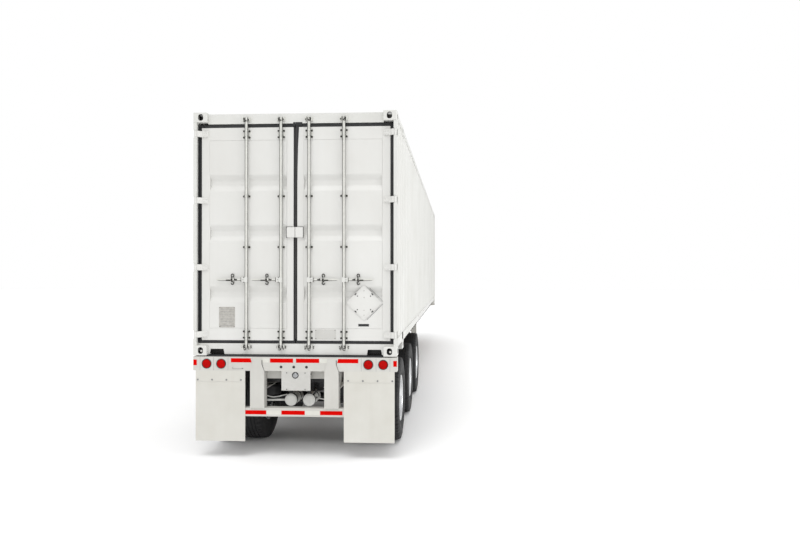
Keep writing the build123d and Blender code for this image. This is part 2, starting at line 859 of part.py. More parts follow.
with BuildPart() as rear_bolster:
    bolster_front = bolster_rear + bolster_depth
    box((-half_width, half_width), (bolster_rear, bolster_front), (bolster_low, bolster_top))
    wall = bolster_wall
    cut_box(
        (-half_width + wall, half_width - wall),
        (bolster_rear + wall, bolster_front + 1),
        (bolster_low + wall, bolster_top - wall),
    )
    for side in (-1, 1):
        for place in lamp_places:
            with BuildSketch(Plane.XZ.offset(-bolster_rear)):
                with Locations((side * place, base - lamp_drop)):
                    RegularPolygon(radius=lamp_radius, side_count=lamp_sides, major_radius=False)
            extrude(amount=-wall, mode=Mode.SUBTRACT)
keep(rear_bolster, "rear_bolster")

with BuildPart() as tail_lamps:
    for side in (-1, 1):
        for place in lamp_places:
            with BuildSketch(Plane.XZ.offset(-bolster_rear + lamp_proud)):
                with Locations((side * place, base - lamp_drop)):
                    RegularPolygon(radius=lamp_radius, side_count=lamp_sides, major_radius=False)
            extrude(amount=-(lamp_proud + bolster_wall + 20))
keep(tail_lamps, "tail_lamps")

# ---------------------------------------------------------------- twist locks
with BuildPart() as twist_locks:
    for x, y, z in casting_rows:
        if abs(y) == outer_casting_y and z < base + casting_height:
            x = math.copysign(half_width - aperture_place, x)
            low = base + casting_wall + 2
            box((x - 27, x + 27), (y - 45, y + 45), (bolster_top, low))
            box((x - 46, x + 46), (y - 26, y + 26), (low, low + 14))
            box((x - 36, x + 36), (y - 20, y + 20), (low + 14, low + 36))
keep(twist_locks, "twist_locks")

# ---------------------------------------------------------------- rear guard
guard_rear = bolster_rear + flap_wall
with BuildPart() as rear_guard:
    low = guard_bar_low
    box((-guard_width / 2, guard_width / 2), (guard_rear, guard_rear + guard_depth), (low, low + guard_bar))
    wall = guard_wall
    cut_box(
        (-guard_width / 2 - 1, guard_width / 2 + 1),
        (guard_rear + wall, guard_rear + guard_depth - wall),
        (low + wall, low + guard_bar - wall),
    )
    for side in (-1, 1):
        half = guard_upright / 2
        box(
            (side * guard_place - half, side * guard_place + half),
            (bolster_rear, guard_rear + guard_depth),
            (low + guard_bar, bolster_low),
        )
    with BuildSketch(Plane.XZ.offset(-bolster_rear)) as straps:
        for side in (-1, 1):
            neck = guard_strap / 2
            with BuildLine():
                Polyline(
                    (side * guard_place - half, low + guard_bar),
                    (side * guard_place + half, low + guard_bar),
                    (side * guard_place + half, bolster_low),
                    (side * guard_place + neck, bolster_low + guard_strap_bend),
                    (side * guard_place + neck, bolster_top - guard_strap_gap),
                    (side * guard_place - neck, bolster_top - guard_strap_gap),
                    (side * guard_place - neck, bolster_low + guard_strap_bend),
                    (side * guard_place - half, bolster_low),
                    close=True,
                )
            make_face()
        bends = straps.vertices().filter_by_position(Axis.Y, bolster_low - 1, bolster_low + guard_strap_bend + 1)
        fillet(bends, radius=guard_strap_round)
    extrude(amount=bolster_set_back)
keep(rear_guard, "rear_guard")

with BuildPart() as mud_flaps:
    for side in (-1, 1):
        box(span(side, flap_inner, flap_outer), (bolster_rear, bolster_rear + flap_wall), (flap_low, bolster_low))
        box(
            span(side, flap_inner + 20, flap_outer - 20),
            (bolster_rear + flap_wall, bolster_rear + flap_wall + 30),
            (bolster_low - flap_hanger_height, bolster_low),
        )
keep(mud_flaps, "mud_flaps")

with BuildPart() as plate_bracket:
    half = plate_width / 2
    box((plate_centre - half, plate_centre + half), (bolster_rear, bolster_rear + 6), (bolster_low - plate_height, bolster_low))
keep(plate_bracket, "plate_bracket")

# ---------------------------------------------------------------- landing gear
with BuildPart() as landing_legs:
    for side in (-1, 1):
        x = side * leg_x
        half = leg_outer / 2
        slide = leg_inner / 2
        foot = leg_foot / 2
        box((x - half, x + half), (leg_y - half, leg_y + half), (leg_outer_low, beam_top - 40))
        cut_box((x - slide - 1, x + slide + 1), (leg_y - slide - 1, leg_y + slide + 1), (leg_outer_low - 1, beam_top - 40 - leg_wall))
        box((x - slide, x + slide), (leg_y - slide, leg_y + slide), (leg_foot_wall, leg_outer_low + 200))
        box((x - foot, x + foot), (leg_y - foot, leg_y + foot), (0, leg_foot_wall))
        box(span(side, beam_x + beam_web / 2, leg_x - half), (leg_y - 90, leg_y + 90), (beam_top - 220, beam_top - 60))
    box((-leg_x + leg_outer / 2, leg_x - leg_outer / 2), (leg_y - 25, leg_y + 25), (beam_low - 90, beam_low - 40))
keep(landing_legs, "landing_legs")

with BuildPart() as landing_drive:
    x = -leg_x - leg_outer / 2
    box((x - 95, x), (leg_y - 75, leg_y + 75), (beam_low - 150, beam_low + 60))
    with BuildSketch(Plane.YZ.offset(x - 95)):
        with Locations((leg_y, beam_low - 40)):
            Circle(14)
    extrude(amount=-120)
    box((x - 240, x - 215), (leg_y - 16, leg_y + 16), (beam_low - 260, beam_low - 26))
keep(landing_drive, "landing_drive")

# ---------------------------------------------------------------- suspension
with BuildPart() as suspension_hangers:
    for y in axle_places:
        for side in (-1, 1):
            pivot = y + arm_forward
            for plate in (-1, 1):
                x = side * beam_x + plate * (arm_width / 2 + 3 + hanger_wall / 2)
                with BuildSketch(Plane.YZ.offset(x - hanger_wall / 2)):
                    with BuildLine():
                        Polyline(
                            (pivot - hanger_length / 2, pivot_height - 60),
                            (pivot + hanger_length / 2, pivot_height - 60),
                            (pivot + hanger_length / 2 + 50, beam_low),
                            (pivot - hanger_length / 2 - 20, beam_low),
                            close=True,
                        )
                    make_face()
                extrude(amount=hanger_wall)
            box(
                (side * beam_x - arm_width / 2 - 3, side * beam_x + arm_width / 2 + 3),
                (pivot + pivot_radius + 8, pivot + pivot_radius + 18),
                (pivot_height - 60, beam_low),
            )
keep(suspension_hangers, "suspension_hangers")

axle_height = tyre_radius
with BuildPart() as trailing_arms:
    for y in axle_places:
        for side in (-1, 1):
            pivot = y + arm_forward
            low = side * beam_x - arm_width / 2
            with BuildSketch(Plane.YZ.offset(low)):
                with BuildLine():
                    Polyline(
                        (pivot, pivot_height + 45),
                        (y + 90, axle_height + axle_radius + arm_height),
                        (y - 110, axle_height + axle_radius + arm_height),
                        (y - 220, seat_height),
                        (y - arm_rearward, seat_height),
                        (y - arm_rearward, seat_height - arm_seat),
                        (y - 240, seat_height - arm_seat - 30),
                        (y - 120, axle_height + axle_radius),
                        (y + 120, axle_height + axle_radius),
                        (pivot, pivot_height - 45),
                        close=True,
                    )
                make_face()
                with Locations((pivot, pivot_height)):
                    RegularPolygon(radius=pivot_radius - 10, side_count=8)
            extrude(amount=arm_width)
keep(trailing_arms, "trailing_arms")

with BuildPart() as air_springs:
    for y in axle_places:
        for side in (-1, 1):
            middle = (side * beam_x, y - spring_back)
            tall = beam_low - seat_height
            with BuildSketch(Plane.XY.offset(seat_height)):
                with Locations(middle):
                    RegularPolygon(radius=spring_radius * 0.72, side_count=hidden_sides)
            extrude(amount=tall * 0.35)
            with BuildSketch(Plane.XY.offset(seat_height + tall * 0.35)):
                with Locations(middle):
                    RegularPolygon(radius=spring_radius, side_count=hidden_sides)
            extrude(amount=tall * 0.65)
keep(air_springs, "air_springs")

hub_inner_x = inner_tyre_place + twin_spacing / 2 - hub_in
with BuildPart() as axles:
    for y in axle_places:
        tube_end = hub_inner_x - 30
        spindle_end = twin_middle + hub_out - 30
        with BuildSketch(Plane.YZ.offset(-tube_end)):
            with Locations((y, axle_height)):
                RegularPolygon(radius=axle_radius, side_count=hidden_sides)
        extrude(amount=2 * tube_end)
        for side in (-1, 1):
            with BuildSketch(Plane.YZ.offset(side * tube_end)):
                with Locations((y, axle_height)):
                    Circle(spindle_radius)
            extrude(amount=side * (spindle_end - tube_end))
keep(axles, "axles")

with BuildPart() as brake_chambers:
    for y in axle_places:
        for side in (-1, 1):
            x = side * (beam_x - arm_width / 2 - chamber_radius - 20)
            with BuildSketch(Plane.XZ.offset(-(y + axle_radius + 40))):
                with Locations((x, axle_height + 20)):
                    RegularPolygon(radius=chamber_radius, side_count=hidden_sides)
            extrude(amount=-chamber_length)
            box((x - 60, x + 60), (y, y + axle_radius + 40), (axle_height - 20, axle_height + 60))
        with BuildSketch(Plane.YZ.offset(-beam_x)):
            with Locations((y, axle_height)):
                RegularPolygon(radius=axle_radius, side_count=hidden_sides)
        extrude(amount=2 * beam_x, mode=Mode.SUBTRACT)
keep(brake_chambers, "brake_chambers")

with BuildPart() as air_reservoirs:
    for side in (-1, 1):
        with BuildSketch(Plane.XZ.offset(-(rear + tank_set_back))):
            with Locations((side * tank_place, tank_level)):
                RegularPolygon(radius=tank_radius, side_count=hidden_sides)
        extrude(amount=-tank_length)
        for d in tank_straps:
            box(
                (side * tank_place - 20, side * tank_place + 20),
                (rear + tank_set_back + d, rear + tank_set_back + d + 40),
                (tank_level + tank_radius - 8, beam_low + 60),
            )
    for d in tank_straps:
        box((-beam_inner, beam_inner), (rear + tank_set_back + d, rear + tank_set_back + d + 40), (beam_low + 60, beam_low + 110))
keep(air_reservoirs, "air_reservoirs")

# ---------------------------------------------------------------- twin wheels
# One twin wheel, with its middle plane on the origin and its outer side towards +X.
# Its flats are turned so that one of them stands on the ground.
flat_down = 180 / wheel_sides
with BuildPart() as twin_tyres:
    for place in (-twin_spacing / 2, twin_spacing / 2):
        with BuildSketch(Plane.YZ.offset(place - tyre_section / 2)):
            RegularPolygon(radius=tyre_radius, side_count=wheel_sides, major_radius=False, rotation=flat_down)
            RegularPolygon(radius=bead_radius, side_count=wheel_sides, major_radius=False, rotation=flat_down, mode=Mode.SUBTRACT)
        extrude(amount=tyre_section)
    for number in range(2):
        tyre = twin_tyres.solids().sort_by(Axis.X)[number]
        for end in (0, -1):
            side_face = tyre.faces().sort_by(Axis.X)[end]
            side_face = [f for f in twin_tyres.faces() if (f.center() - side_face.center()).length < 0.01][0]
            chamfer(side_face.outer_wire().edges(), tyre_shoulder_drop, tyre_shoulder, reference=side_face)
            tyre = twin_tyres.solids().sort_by(Axis.X)[number]

with BuildPart() as twin_wheel:
    rim_end = twin_spacing / 2 + bead_width / 2
    with BuildSketch(Plane.YZ.offset(-rim_end)):
        RegularPolygon(radius=bead_radius, side_count=wheel_sides, major_radius=False, rotation=flat_down)
        RegularPolygon(radius=bead_radius - rim_wall, side_count=wheel_sides, major_radius=False, rotation=flat_down, mode=Mode.SUBTRACT)
    extrude(amount=2 * rim_end)
    with BuildSketch(Plane.YZ.offset(-rim_disc / 2)):
        RegularPolygon(radius=bead_radius - rim_wall, side_count=wheel_sides, major_radius=False, rotation=flat_down)
    extrude(amount=rim_disc)
    with BuildSketch(Plane.YZ.offset(-hub_in)):
        RegularPolygon(radius=hub_radius, side_count=hub_sides)
    extrude(amount=hub_in + hub_out)
    with BuildSketch(Plane.YZ.offset(-hub_in)):
        Circle(spindle_radius + spindle_clearance)
    extrude(amount=hub_in + hub_out - 20, mode=Mode.SUBTRACT)

for number, y in enumerate(axle_places, start=1):
    for name, side in sides:
        label = "axle" + str(number) + "_" + name
        place = Location((side * twin_middle, y, axle_height), (0, 0, 0 if side > 0 else 180))
        with BuildPart() as tyres:
            add(twin_tyres.part.moved(place))
        keep(tyres, label + "_tyres")
        with BuildPart() as wheel:
            add(twin_wheel.part.moved(place))
        keep(wheel, label + "_wheel")
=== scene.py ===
import logging
import math
from dataclasses import dataclass
from enum import Enum
from typing import Callable, Iterable, Sequence

import bpy
import numpy as np
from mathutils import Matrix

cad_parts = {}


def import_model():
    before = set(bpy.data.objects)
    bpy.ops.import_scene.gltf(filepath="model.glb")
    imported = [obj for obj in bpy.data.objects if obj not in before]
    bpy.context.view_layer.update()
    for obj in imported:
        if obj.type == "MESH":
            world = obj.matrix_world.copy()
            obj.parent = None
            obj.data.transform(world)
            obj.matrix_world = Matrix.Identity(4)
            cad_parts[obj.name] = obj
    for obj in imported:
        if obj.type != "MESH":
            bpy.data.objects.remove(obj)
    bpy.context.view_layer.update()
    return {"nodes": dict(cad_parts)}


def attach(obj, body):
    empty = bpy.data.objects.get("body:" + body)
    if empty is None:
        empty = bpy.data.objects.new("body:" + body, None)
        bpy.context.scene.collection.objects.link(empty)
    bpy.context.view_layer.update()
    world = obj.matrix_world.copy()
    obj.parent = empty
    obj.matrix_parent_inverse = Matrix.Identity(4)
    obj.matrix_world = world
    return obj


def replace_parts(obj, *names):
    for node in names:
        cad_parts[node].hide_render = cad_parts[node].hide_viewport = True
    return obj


logging.basicConfig(level=logging.INFO, format="%(message)s")
LOG = logging.getLogger("trailer")

Array = np.ndarray
SIDES = (("left", -1.0), ("right", 1.0))

# Sizes that the pieces share with the solids, in metres.
REAR = -6.858
BASE = 1.219
TOP = 4.115
HALF_WIDTH = 1.219
LEAF_REAR = -6.803
ROD_Y = LEAF_REAR - 0.028
BOLSTER_REAR = -6.850
BOLSTER_TOP = 1.207
BOLSTER_LOW = 1.041
AXLE_HEIGHT = 0.542
AXLE_PLACES = (-5.838, -4.168, -2.498)
TWIN_MIDDLE = 0.8845
CASTING_HOLE = 1.130
# Near-black colour of painted shade, which each point's share of painted shade mixes in.
PAINTED_SHADE_COLOUR = "#211F1D"


# ---------------------------------------------------------------- meshes
@dataclass
class Surface:
    """Vertices and faces of one piece, gathered part by part before they become a mesh."""

    points: list[Array]
    faces: list[Sequence[int]]
    count: int = 0

    @classmethod
    def empty(cls) -> "Surface":
        """Starts a surface with nothing in it."""
        return cls([], [])

    def take(self, points: Array, faces: Iterable[Sequence[int]]) -> "Surface":
        """Adds points and the faces that join them.

        Args:
            points: Array of shape (n, 3), in metres.
            faces: Index rows that count from this part's first point.

        Returns:
            The surface itself, so that calls can be chained.
        """
        self.points.append(np.asarray(points, dtype=float))
        self.faces.extend([tuple(int(i) + self.count for i in row) for row in faces])
        self.count += len(points)
        return self

    def join(self, other: "Surface") -> "Surface":
        """Adds all of another surface."""
        return self.take(np.vstack(other.points), other.faces)

    def outward(self) -> "Surface":
        """Turns a closed part's faces outward, which makes the sum of the signed wedges from its middle positive."""
        points = np.vstack(self.points)
        points = points - points.mean(axis=0)
        fans = np.array([(row[0], b, c) for row in self.faces for b, c in zip(row[1:-1], row[2:])])
        first, second, third = points[fans].transpose(1, 0, 2)
        if np.einsum("ij,ij->", first, np.cross(second, third)) < 0:
            self.faces = [tuple(reversed(row)) for row in self.faces]
        return self

    def mirrored(self) -> "Surface":
        """The same surface on the other side of the centre plane, with its faces turned to stay outward."""
        points = np.vstack(self.points) * np.array([-1.0, 1.0, 1.0])
        return Surface([points], [tuple(reversed(row)) for row in self.faces], self.count)


def grid_faces(rows: int, columns: int, wrap_rows: bool, wrap_columns: bool) -> Array:
    """Quads of a grid of rows by columns points, closed round either way if asked.

    Args:
        rows: Number of points along the first parameter.
        columns: Number of points along the second parameter.
        wrap_rows: Joins the last row to the first.
        wrap_columns: Joins the last column to the first.

    Returns:
        Array of shape (n, 4) of point indices.
    """
    i = np.arange(rows if wrap_rows else rows - 1)[:, None]
    j = np.arange(columns if wrap_columns else columns - 1)[None, :]
    a = i * columns + j
    b = i * columns + (j + 1) % columns
    c = ((i + 1) % rows) * columns + (j + 1) % columns
    d = ((i + 1) % rows) * columns + j
    return np.stack([a + 0 * j, b + 0 * i, c, d + 0 * j], axis=-1).reshape(-1, 4)


def capped(rings: Array, count: int) -> Surface:
    """Rings of equal count joined in turn, with the first and the last one filled.

    Args:
        rings: Array of shape (rings * count, 3), ring after ring.
        count: Points in each ring.

    Returns:
        The closed surface, with its faces as the rings turn.
    """
    faces = [tuple(row) for row in grid_faces(len(rings) // count, count, False, True)]
    last = len(rings) - count
    faces += [tuple(range(count - 1, -1, -1)), tuple(range(last, last + count))]
    return Surface.empty().take(rings, faces)


def ribbon(rings: Array, flipped: bool = False) -> Surface:
    """A thin loop, there and back, carried between two ends that strips of quads close.

    Args:
        rings: Array of shape (2 * count, 3), the loop at one end and then at the other.
        flipped: Turns every face over.

    Returns:
        The closed surface.
    """
    count = len(rings) // 2
    n = np.arange(count // 2 - 1)
    caps = np.stack([n, n + 1, count - 2 - n, count - 1 - n], axis=-1)
    faces = np.vstack([grid_faces(2, count, False, True), caps[:, ::-1], caps + count])
    return Surface.empty().take(rings, faces[:, ::-1] if flipped else faces)


def turned(profile: Array, centre: Sequence[float], axis: str, count: int, closed: bool = False) -> Surface:
    """A profile turned about an axis.

    The point at angle t of profile row (a, r) is a along the axis, with r cos t and r sin t across it.
    An open profile is closed by a flat disc at each end whose radius isn't nearly nothing.

    Args:
        profile: Array of shape (n, 2) of distance along the axis and radius.
        centre: The point that the profile counts from.
        axis: "x", "y" or "z".
        count: Number of steps round.
        closed: Whether the profile is itself a loop, as a tyre's section is.

    Returns:
        The turned surface with its faces outward.
    """
    angle = np.linspace(0.0, 2 * np.pi, count, endpoint=False)
    along = np.repeat(profile[:, :1], count, axis=1)
    first = profile[:, 1:] * np.cos(angle)
    second = profile[:, 1:] * np.sin(angle)
    order = {"x": (along, first, second), "y": (second, along, first), "z": (first, second, along)}[axis]
    points = np.stack(order, axis=-1).reshape(-1, 3) + np.asarray(centre, dtype=float)
    if not closed:
        return capped(points, count).outward()
    return Surface.empty().take(points, grid_faces(len(profile), count, True, True)).outward()


def block(low: Sequence[float], high: Sequence[float], edge: float = 0.0) -> Surface:
    """A box between two corners whose edges are cut at 45 degrees.

    Each of the eight corners becomes three points, one on each face that meets there.

    Args:
        low: Lowest corner.
        high: Highest corner.
        edge: Width of the cut on each face; nothing leaves a plain box.

    Returns:
        The closed surface.
    """
    low_corner = np.minimum(low, high)
    high_corner = np.maximum(low, high)
    signs = np.array([[x, y, z] for x in (0, 1) for y in (0, 1) for z in (0, 1)])
    corners = low_corner + signs * (high_corner - low_corner)
    if edge <= 0:
        faces = [(0, 1, 3, 2), (4, 6, 7, 5), (0, 4, 5, 1), (2, 3, 7, 6), (0, 2, 6, 4), (1, 5, 7, 3)]
        return Surface.empty().take(corners, faces)
    inward = 1 - 2 * signs
    keep_axis = np.eye(3)
    points = (corners[:, None, :] + inward[:, None, :] * edge * (1 - keep_axis)[None, :, :]).reshape(-1, 3)
    index = {tuple(s): n for n, s in enumerate(signs.tolist())}

    def at(corner: tuple[int, int, int], axis: int) -> int:
        """Index of the point of a corner that lies on the face across an axis."""
        return index[corner] * 3 + axis

    faces: list[tuple[int, ...]] = []
    for axis in range(3):
        u, v = (axis + 1) % 3, (axis + 2) % 3
        for end in (0, 1):
            ring = []
            for a, b in ((0, 0), (1, 0), (1, 1), (0, 1)):
                corner = [0, 0, 0]
                corner[axis], corner[u], corner[v] = end, a, b
                ring.append(at(tuple(corner), axis))
            faces.append(tuple(ring if end else reversed(ring)))
        for a in (0, 1):
            for b in (0, 1):
                first, second = [0, 0, 0], [0, 0, 0]
                first[u], first[v], second[u], second[v] = a, b, a, b
                second[axis] = 1
                quad = [at(tuple(first), u), at(tuple(second), u), at(tuple(second), v), at(tuple(first), v)]
                faces.append(tuple(reversed(quad) if a == b else quad))
    for corner in index:
        triangle = [at(corner, 0), at(corner, 1), at(corner, 2)]
        faces.append(tuple(triangle if sum(corner) % 2 else reversed(triangle)))
    return Surface.empty().take(points, faces)


def plate(outline: Array, plane: str, near: float, far: float, edge: float = 0.0) -> Surface:
    """A flat plate cut to an outline, with its rims chamfered.

    Its rings are the outline drawn in by the chamfer, the outline, the outline and the drawn-in one again.

    Args:
        outline: Array of shape (n, 2) on the plane, either way round.
        plane: "xz", "yz" or "xy", whose third axis carries the thickness.
        near: Lower place on the third axis.
        far: Higher place on the third axis.
        edge: Width of the chamfer.

    Returns:
        The closed surface.
    """
    centre = outline.mean(axis=0)
    reach = np.linalg.norm(outline - centre, axis=1, keepdims=True)
    drawn = outline - (outline - centre) / reach * edge * 1.2
    levels = [(drawn, near), (outline, near + edge), (outline, far - edge), (drawn, far)]
    if edge <= 0:
        levels = [(outline, near), (outline, far)]
    count = len(outline)
    rings = []
    for ring, level in levels:
        third = np.full(count, level)
        order = {"xz": (ring[:, 0], third, ring[:, 1]), "yz": (third, ring[:, 0], ring[:, 1])}
        rings.append(np.stack(order.get(plane, (ring[:, 0], ring[:, 1], third)), axis=-1))
    return capped(np.vstack(rings), count).outward()


def pipe(path: Array, radius: float, count: int = 12) -> Surface:
    """A round tube carried along a path of points.

    Each ring stands across the path's direction there, which is the difference of its two neighbours.

    Args:
        path: Array of shape (n, 3).
        radius: Tube radius in metres.
        count: Number of steps round.

    Returns:
        The closed tube.
    """
    ahead = np.gradient(path, axis=0)
    ahead /= np.linalg.norm(ahead, axis=1, keepdims=True)
    guide = np.array([0.0, 0.0, 1.0]) if abs(ahead[0, 2]) < 0.9 else np.array([1.0, 0.0, 0.0])
    side = np.cross(ahead, guide)
    side /= np.linalg.norm(side, axis=1, keepdims=True)
    up = np.cross(side, ahead)
    angle = np.linspace(0.0, 2 * np.pi, count, endpoint=False)
    ring = np.cos(angle)[None, :, None] * side[:, None, :] + np.sin(angle)[None, :, None] * up[:, None, :]
    points = (path[:, None, :] + radius * ring).reshape(-1, 3)
    return capped(points, count).outward()


def smooth_path(corners: Array, steps: int) -> Array:
    """Points along a Catmull-Rom line through the corners, with that many steps to each span."""
    padded = np.vstack([2 * corners[0] - corners[1], corners, 2 * corners[-1] - corners[-2]])
    t = np.linspace(0.0, 1.0, steps, endpoint=False)[:, None]
    spans = []
    for n in range(1, len(padded) - 2):
        a, b, c, d = padded[n - 1], padded[n], padded[n + 1], padded[n + 2]
        spans.append(0.5 * (2 * b + (c - a) * t + (2 * a - 5 * b + 4 * c - d) * t**2 + (3 * b - a - 3 * c + d) * t**3))
    return np.vstack(spans + [corners[-1:]])


def hexagon_head(place: Sequence[float], axis: str, outward: float, across: float, tall: float) -> Surface:
    """A hexagon bolt head with its top rim cut back, standing on a face.

    Args:
        place: Centre of the face that the head stands on.
        axis: Axis across that face.
        outward: Sign of the way the head points.
        across: Width over corners in metres.
        tall: Height of the head.

    Returns:
        The head's closed surface.
    """
    rows = np.array([[0.0, across / 2], [tall * 0.8, across / 2], [tall, across * 0.4]])
    rows[:, 0] *= outward
    return turned(rows, place, axis, 6)


# ---------------------------------------------------------------- finishes
def linear(code: str) -> tuple[float, float, float, float]:
    """Turns an sRGB hex colour such as #E6E5E0 into linear red, green, blue and alpha."""
    values = [int(code[n : n + 2], 16) / 255 for n in (1, 3, 5)]
    bent = [v / 12.92 if v <= 0.04045 else ((v + 0.055) / 1.055) ** 2.4 for v in values]
    return (bent[0], bent[1], bent[2], 1.0)


def add_node(
    tree: bpy.types.NodeTree, kind: str, settings: dict[str | int, object], links: dict[str | int, object]
) -> bpy.types.Node:
    """Adds a shader node with its settings and links.

    Args:
        tree: The material's node tree.
        kind: Blender's class name of the node.
        settings: Attribute or input names and their values.
        links: Input names or numbers and the output sockets that feed them.

    Returns:
        The new node.
    """
    made = tree.nodes.new(kind)
    for name, value in settings.items():
        if isinstance(name, int) or name in made.inputs:
            made.inputs[name].default_value = value
        else:
            setattr(made, name, value)
    for name, socket in links.items():
        tree.links.new(socket, made.inputs[name])
    return made


@dataclass(frozen=True)
class Finish:
    """How one kind of surface looks: two close colours in soft patches, painted shade where a piece gives it, a fine
    relief and an uneven gloss.

    Sizes are in millimetres on the real surface.
    """

    name: str
    light: str
    dark: str
    rough_low: float
    rough_high: float
    metallic: float = 0.0
    ior: float = 1.5
    patch_mm: float = 600.0
    grain_mm: float = 6.0
    relief_mm: float = 0.05
    streak: float = 0.0
    coat: float = 0.0
    emission: float = 0.0

    def build(self) -> bpy.types.Material:
        """Makes the material, or returns the one already made under its name."""
        known = bpy.data.materials.get(self.name)
        if known is not None:
            return known
        material = bpy.data.materials.new(self.name)
        material.use_nodes = True
        tree = material.node_tree
        tree.nodes.clear()
        place = add_node(tree, "ShaderNodeTexCoord", {}, {}).outputs["Object"]
        self.dress(tree, place)
        material.diffuse_color = linear(self.light)
        return material

    def dress(self, tree: bpy.types.NodeTree, place: bpy.types.NodeSocket) -> None:
        """Lays colour patches, painted shade, gloss and relief on the surface shader.

        Args:
            tree: The material's node tree.
            place: Object coordinates, in metres.
        """
        patch = add_node(
            tree,
            "ShaderNodeTexNoise",
            {"Scale": 1000.0 / self.patch_mm, "Detail": 5.0, "Roughness": 0.6},
            {"Vector": place},
        )
        mask = patch.outputs["Fac"]
        if self.streak > 0:
            drawn = add_node(tree, "ShaderNodeMapping", {"Scale": (1.0, 1.0, 0.06)}, {"Vector": place})
            runs = add_node(
                tree, "ShaderNodeTexNoise", {"Scale": 14.0, "Detail": 4.0}, {"Vector": drawn.outputs["Vector"]}
            )
            joined = add_node(
                tree, "ShaderNodeMath", {"operation": "MULTIPLY_ADD", 1: self.streak}, {0: runs.outputs["Fac"], 2: mask}
            )
            mask = joined.outputs["Value"]
        colour = add_node(
            tree, "ShaderNodeMapRange", {"From Min": 0.35, "From Max": 0.75 + self.streak}, {"Value": mask}
        )
        mix = add_node(tree, "ShaderNodeMix", {"data_type": "RGBA"}, {"Factor": colour.outputs["Result"]})
        mix.inputs[6].default_value = linear(self.light)
        mix.inputs[7].default_value = linear(self.dark)
        # Painted shade: the point's stored share of shade mixes the near-black shade colour into the paint.
        film = add_node(tree, "ShaderNodeAttribute", {"attribute_name": "painted_shade"}, {})
        shaded_colour = add_node(
            tree, "ShaderNodeMix", {"data_type": "RGBA"}, {"Factor": film.outputs["Fac"], 6: mix.outputs[2]}
        )
        shaded_colour.inputs[7].default_value = linear(PAINTED_SHADE_COLOUR)
        gloss = add_node(
            tree,
            "ShaderNodeMapRange",
            {"From Min": 0.3, "From Max": 0.7, "To Min": self.rough_low, "To Max": self.rough_high},
            {"Value": patch.outputs["Fac"]},
        )
        grain = add_node(
            tree, "ShaderNodeTexNoise", {"Scale": 1000.0 / self.grain_mm, "Detail": 2.0}, {"Vector": place}
        )
        bump = add_node(
            tree,
            "ShaderNodeBump",
            {"Strength": 0.5, "Distance": self.relief_mm / 1000.0},
            {"Height": grain.outputs["Fac"]},
        )
        shader = add_node(
            tree,
            "ShaderNodeBsdfPrincipled",
            {"Metallic": self.metallic, "IOR": self.ior, "Coat Weight": self.coat, "Coat Roughness": 0.08},
            {
                "Base Color": shaded_colour.outputs[2],
                "Roughness": gloss.outputs["Result"],
                "Normal": bump.outputs["Normal"],
            },
        )
        if self.emission > 0:
            shader.inputs["Emission Color"].default_value = linear(self.light)
            shader.inputs["Emission Strength"].default_value = self.emission
        add_node(tree, "ShaderNodeOutputMaterial", {}, {"Surface": shader.outputs["BSDF"]})


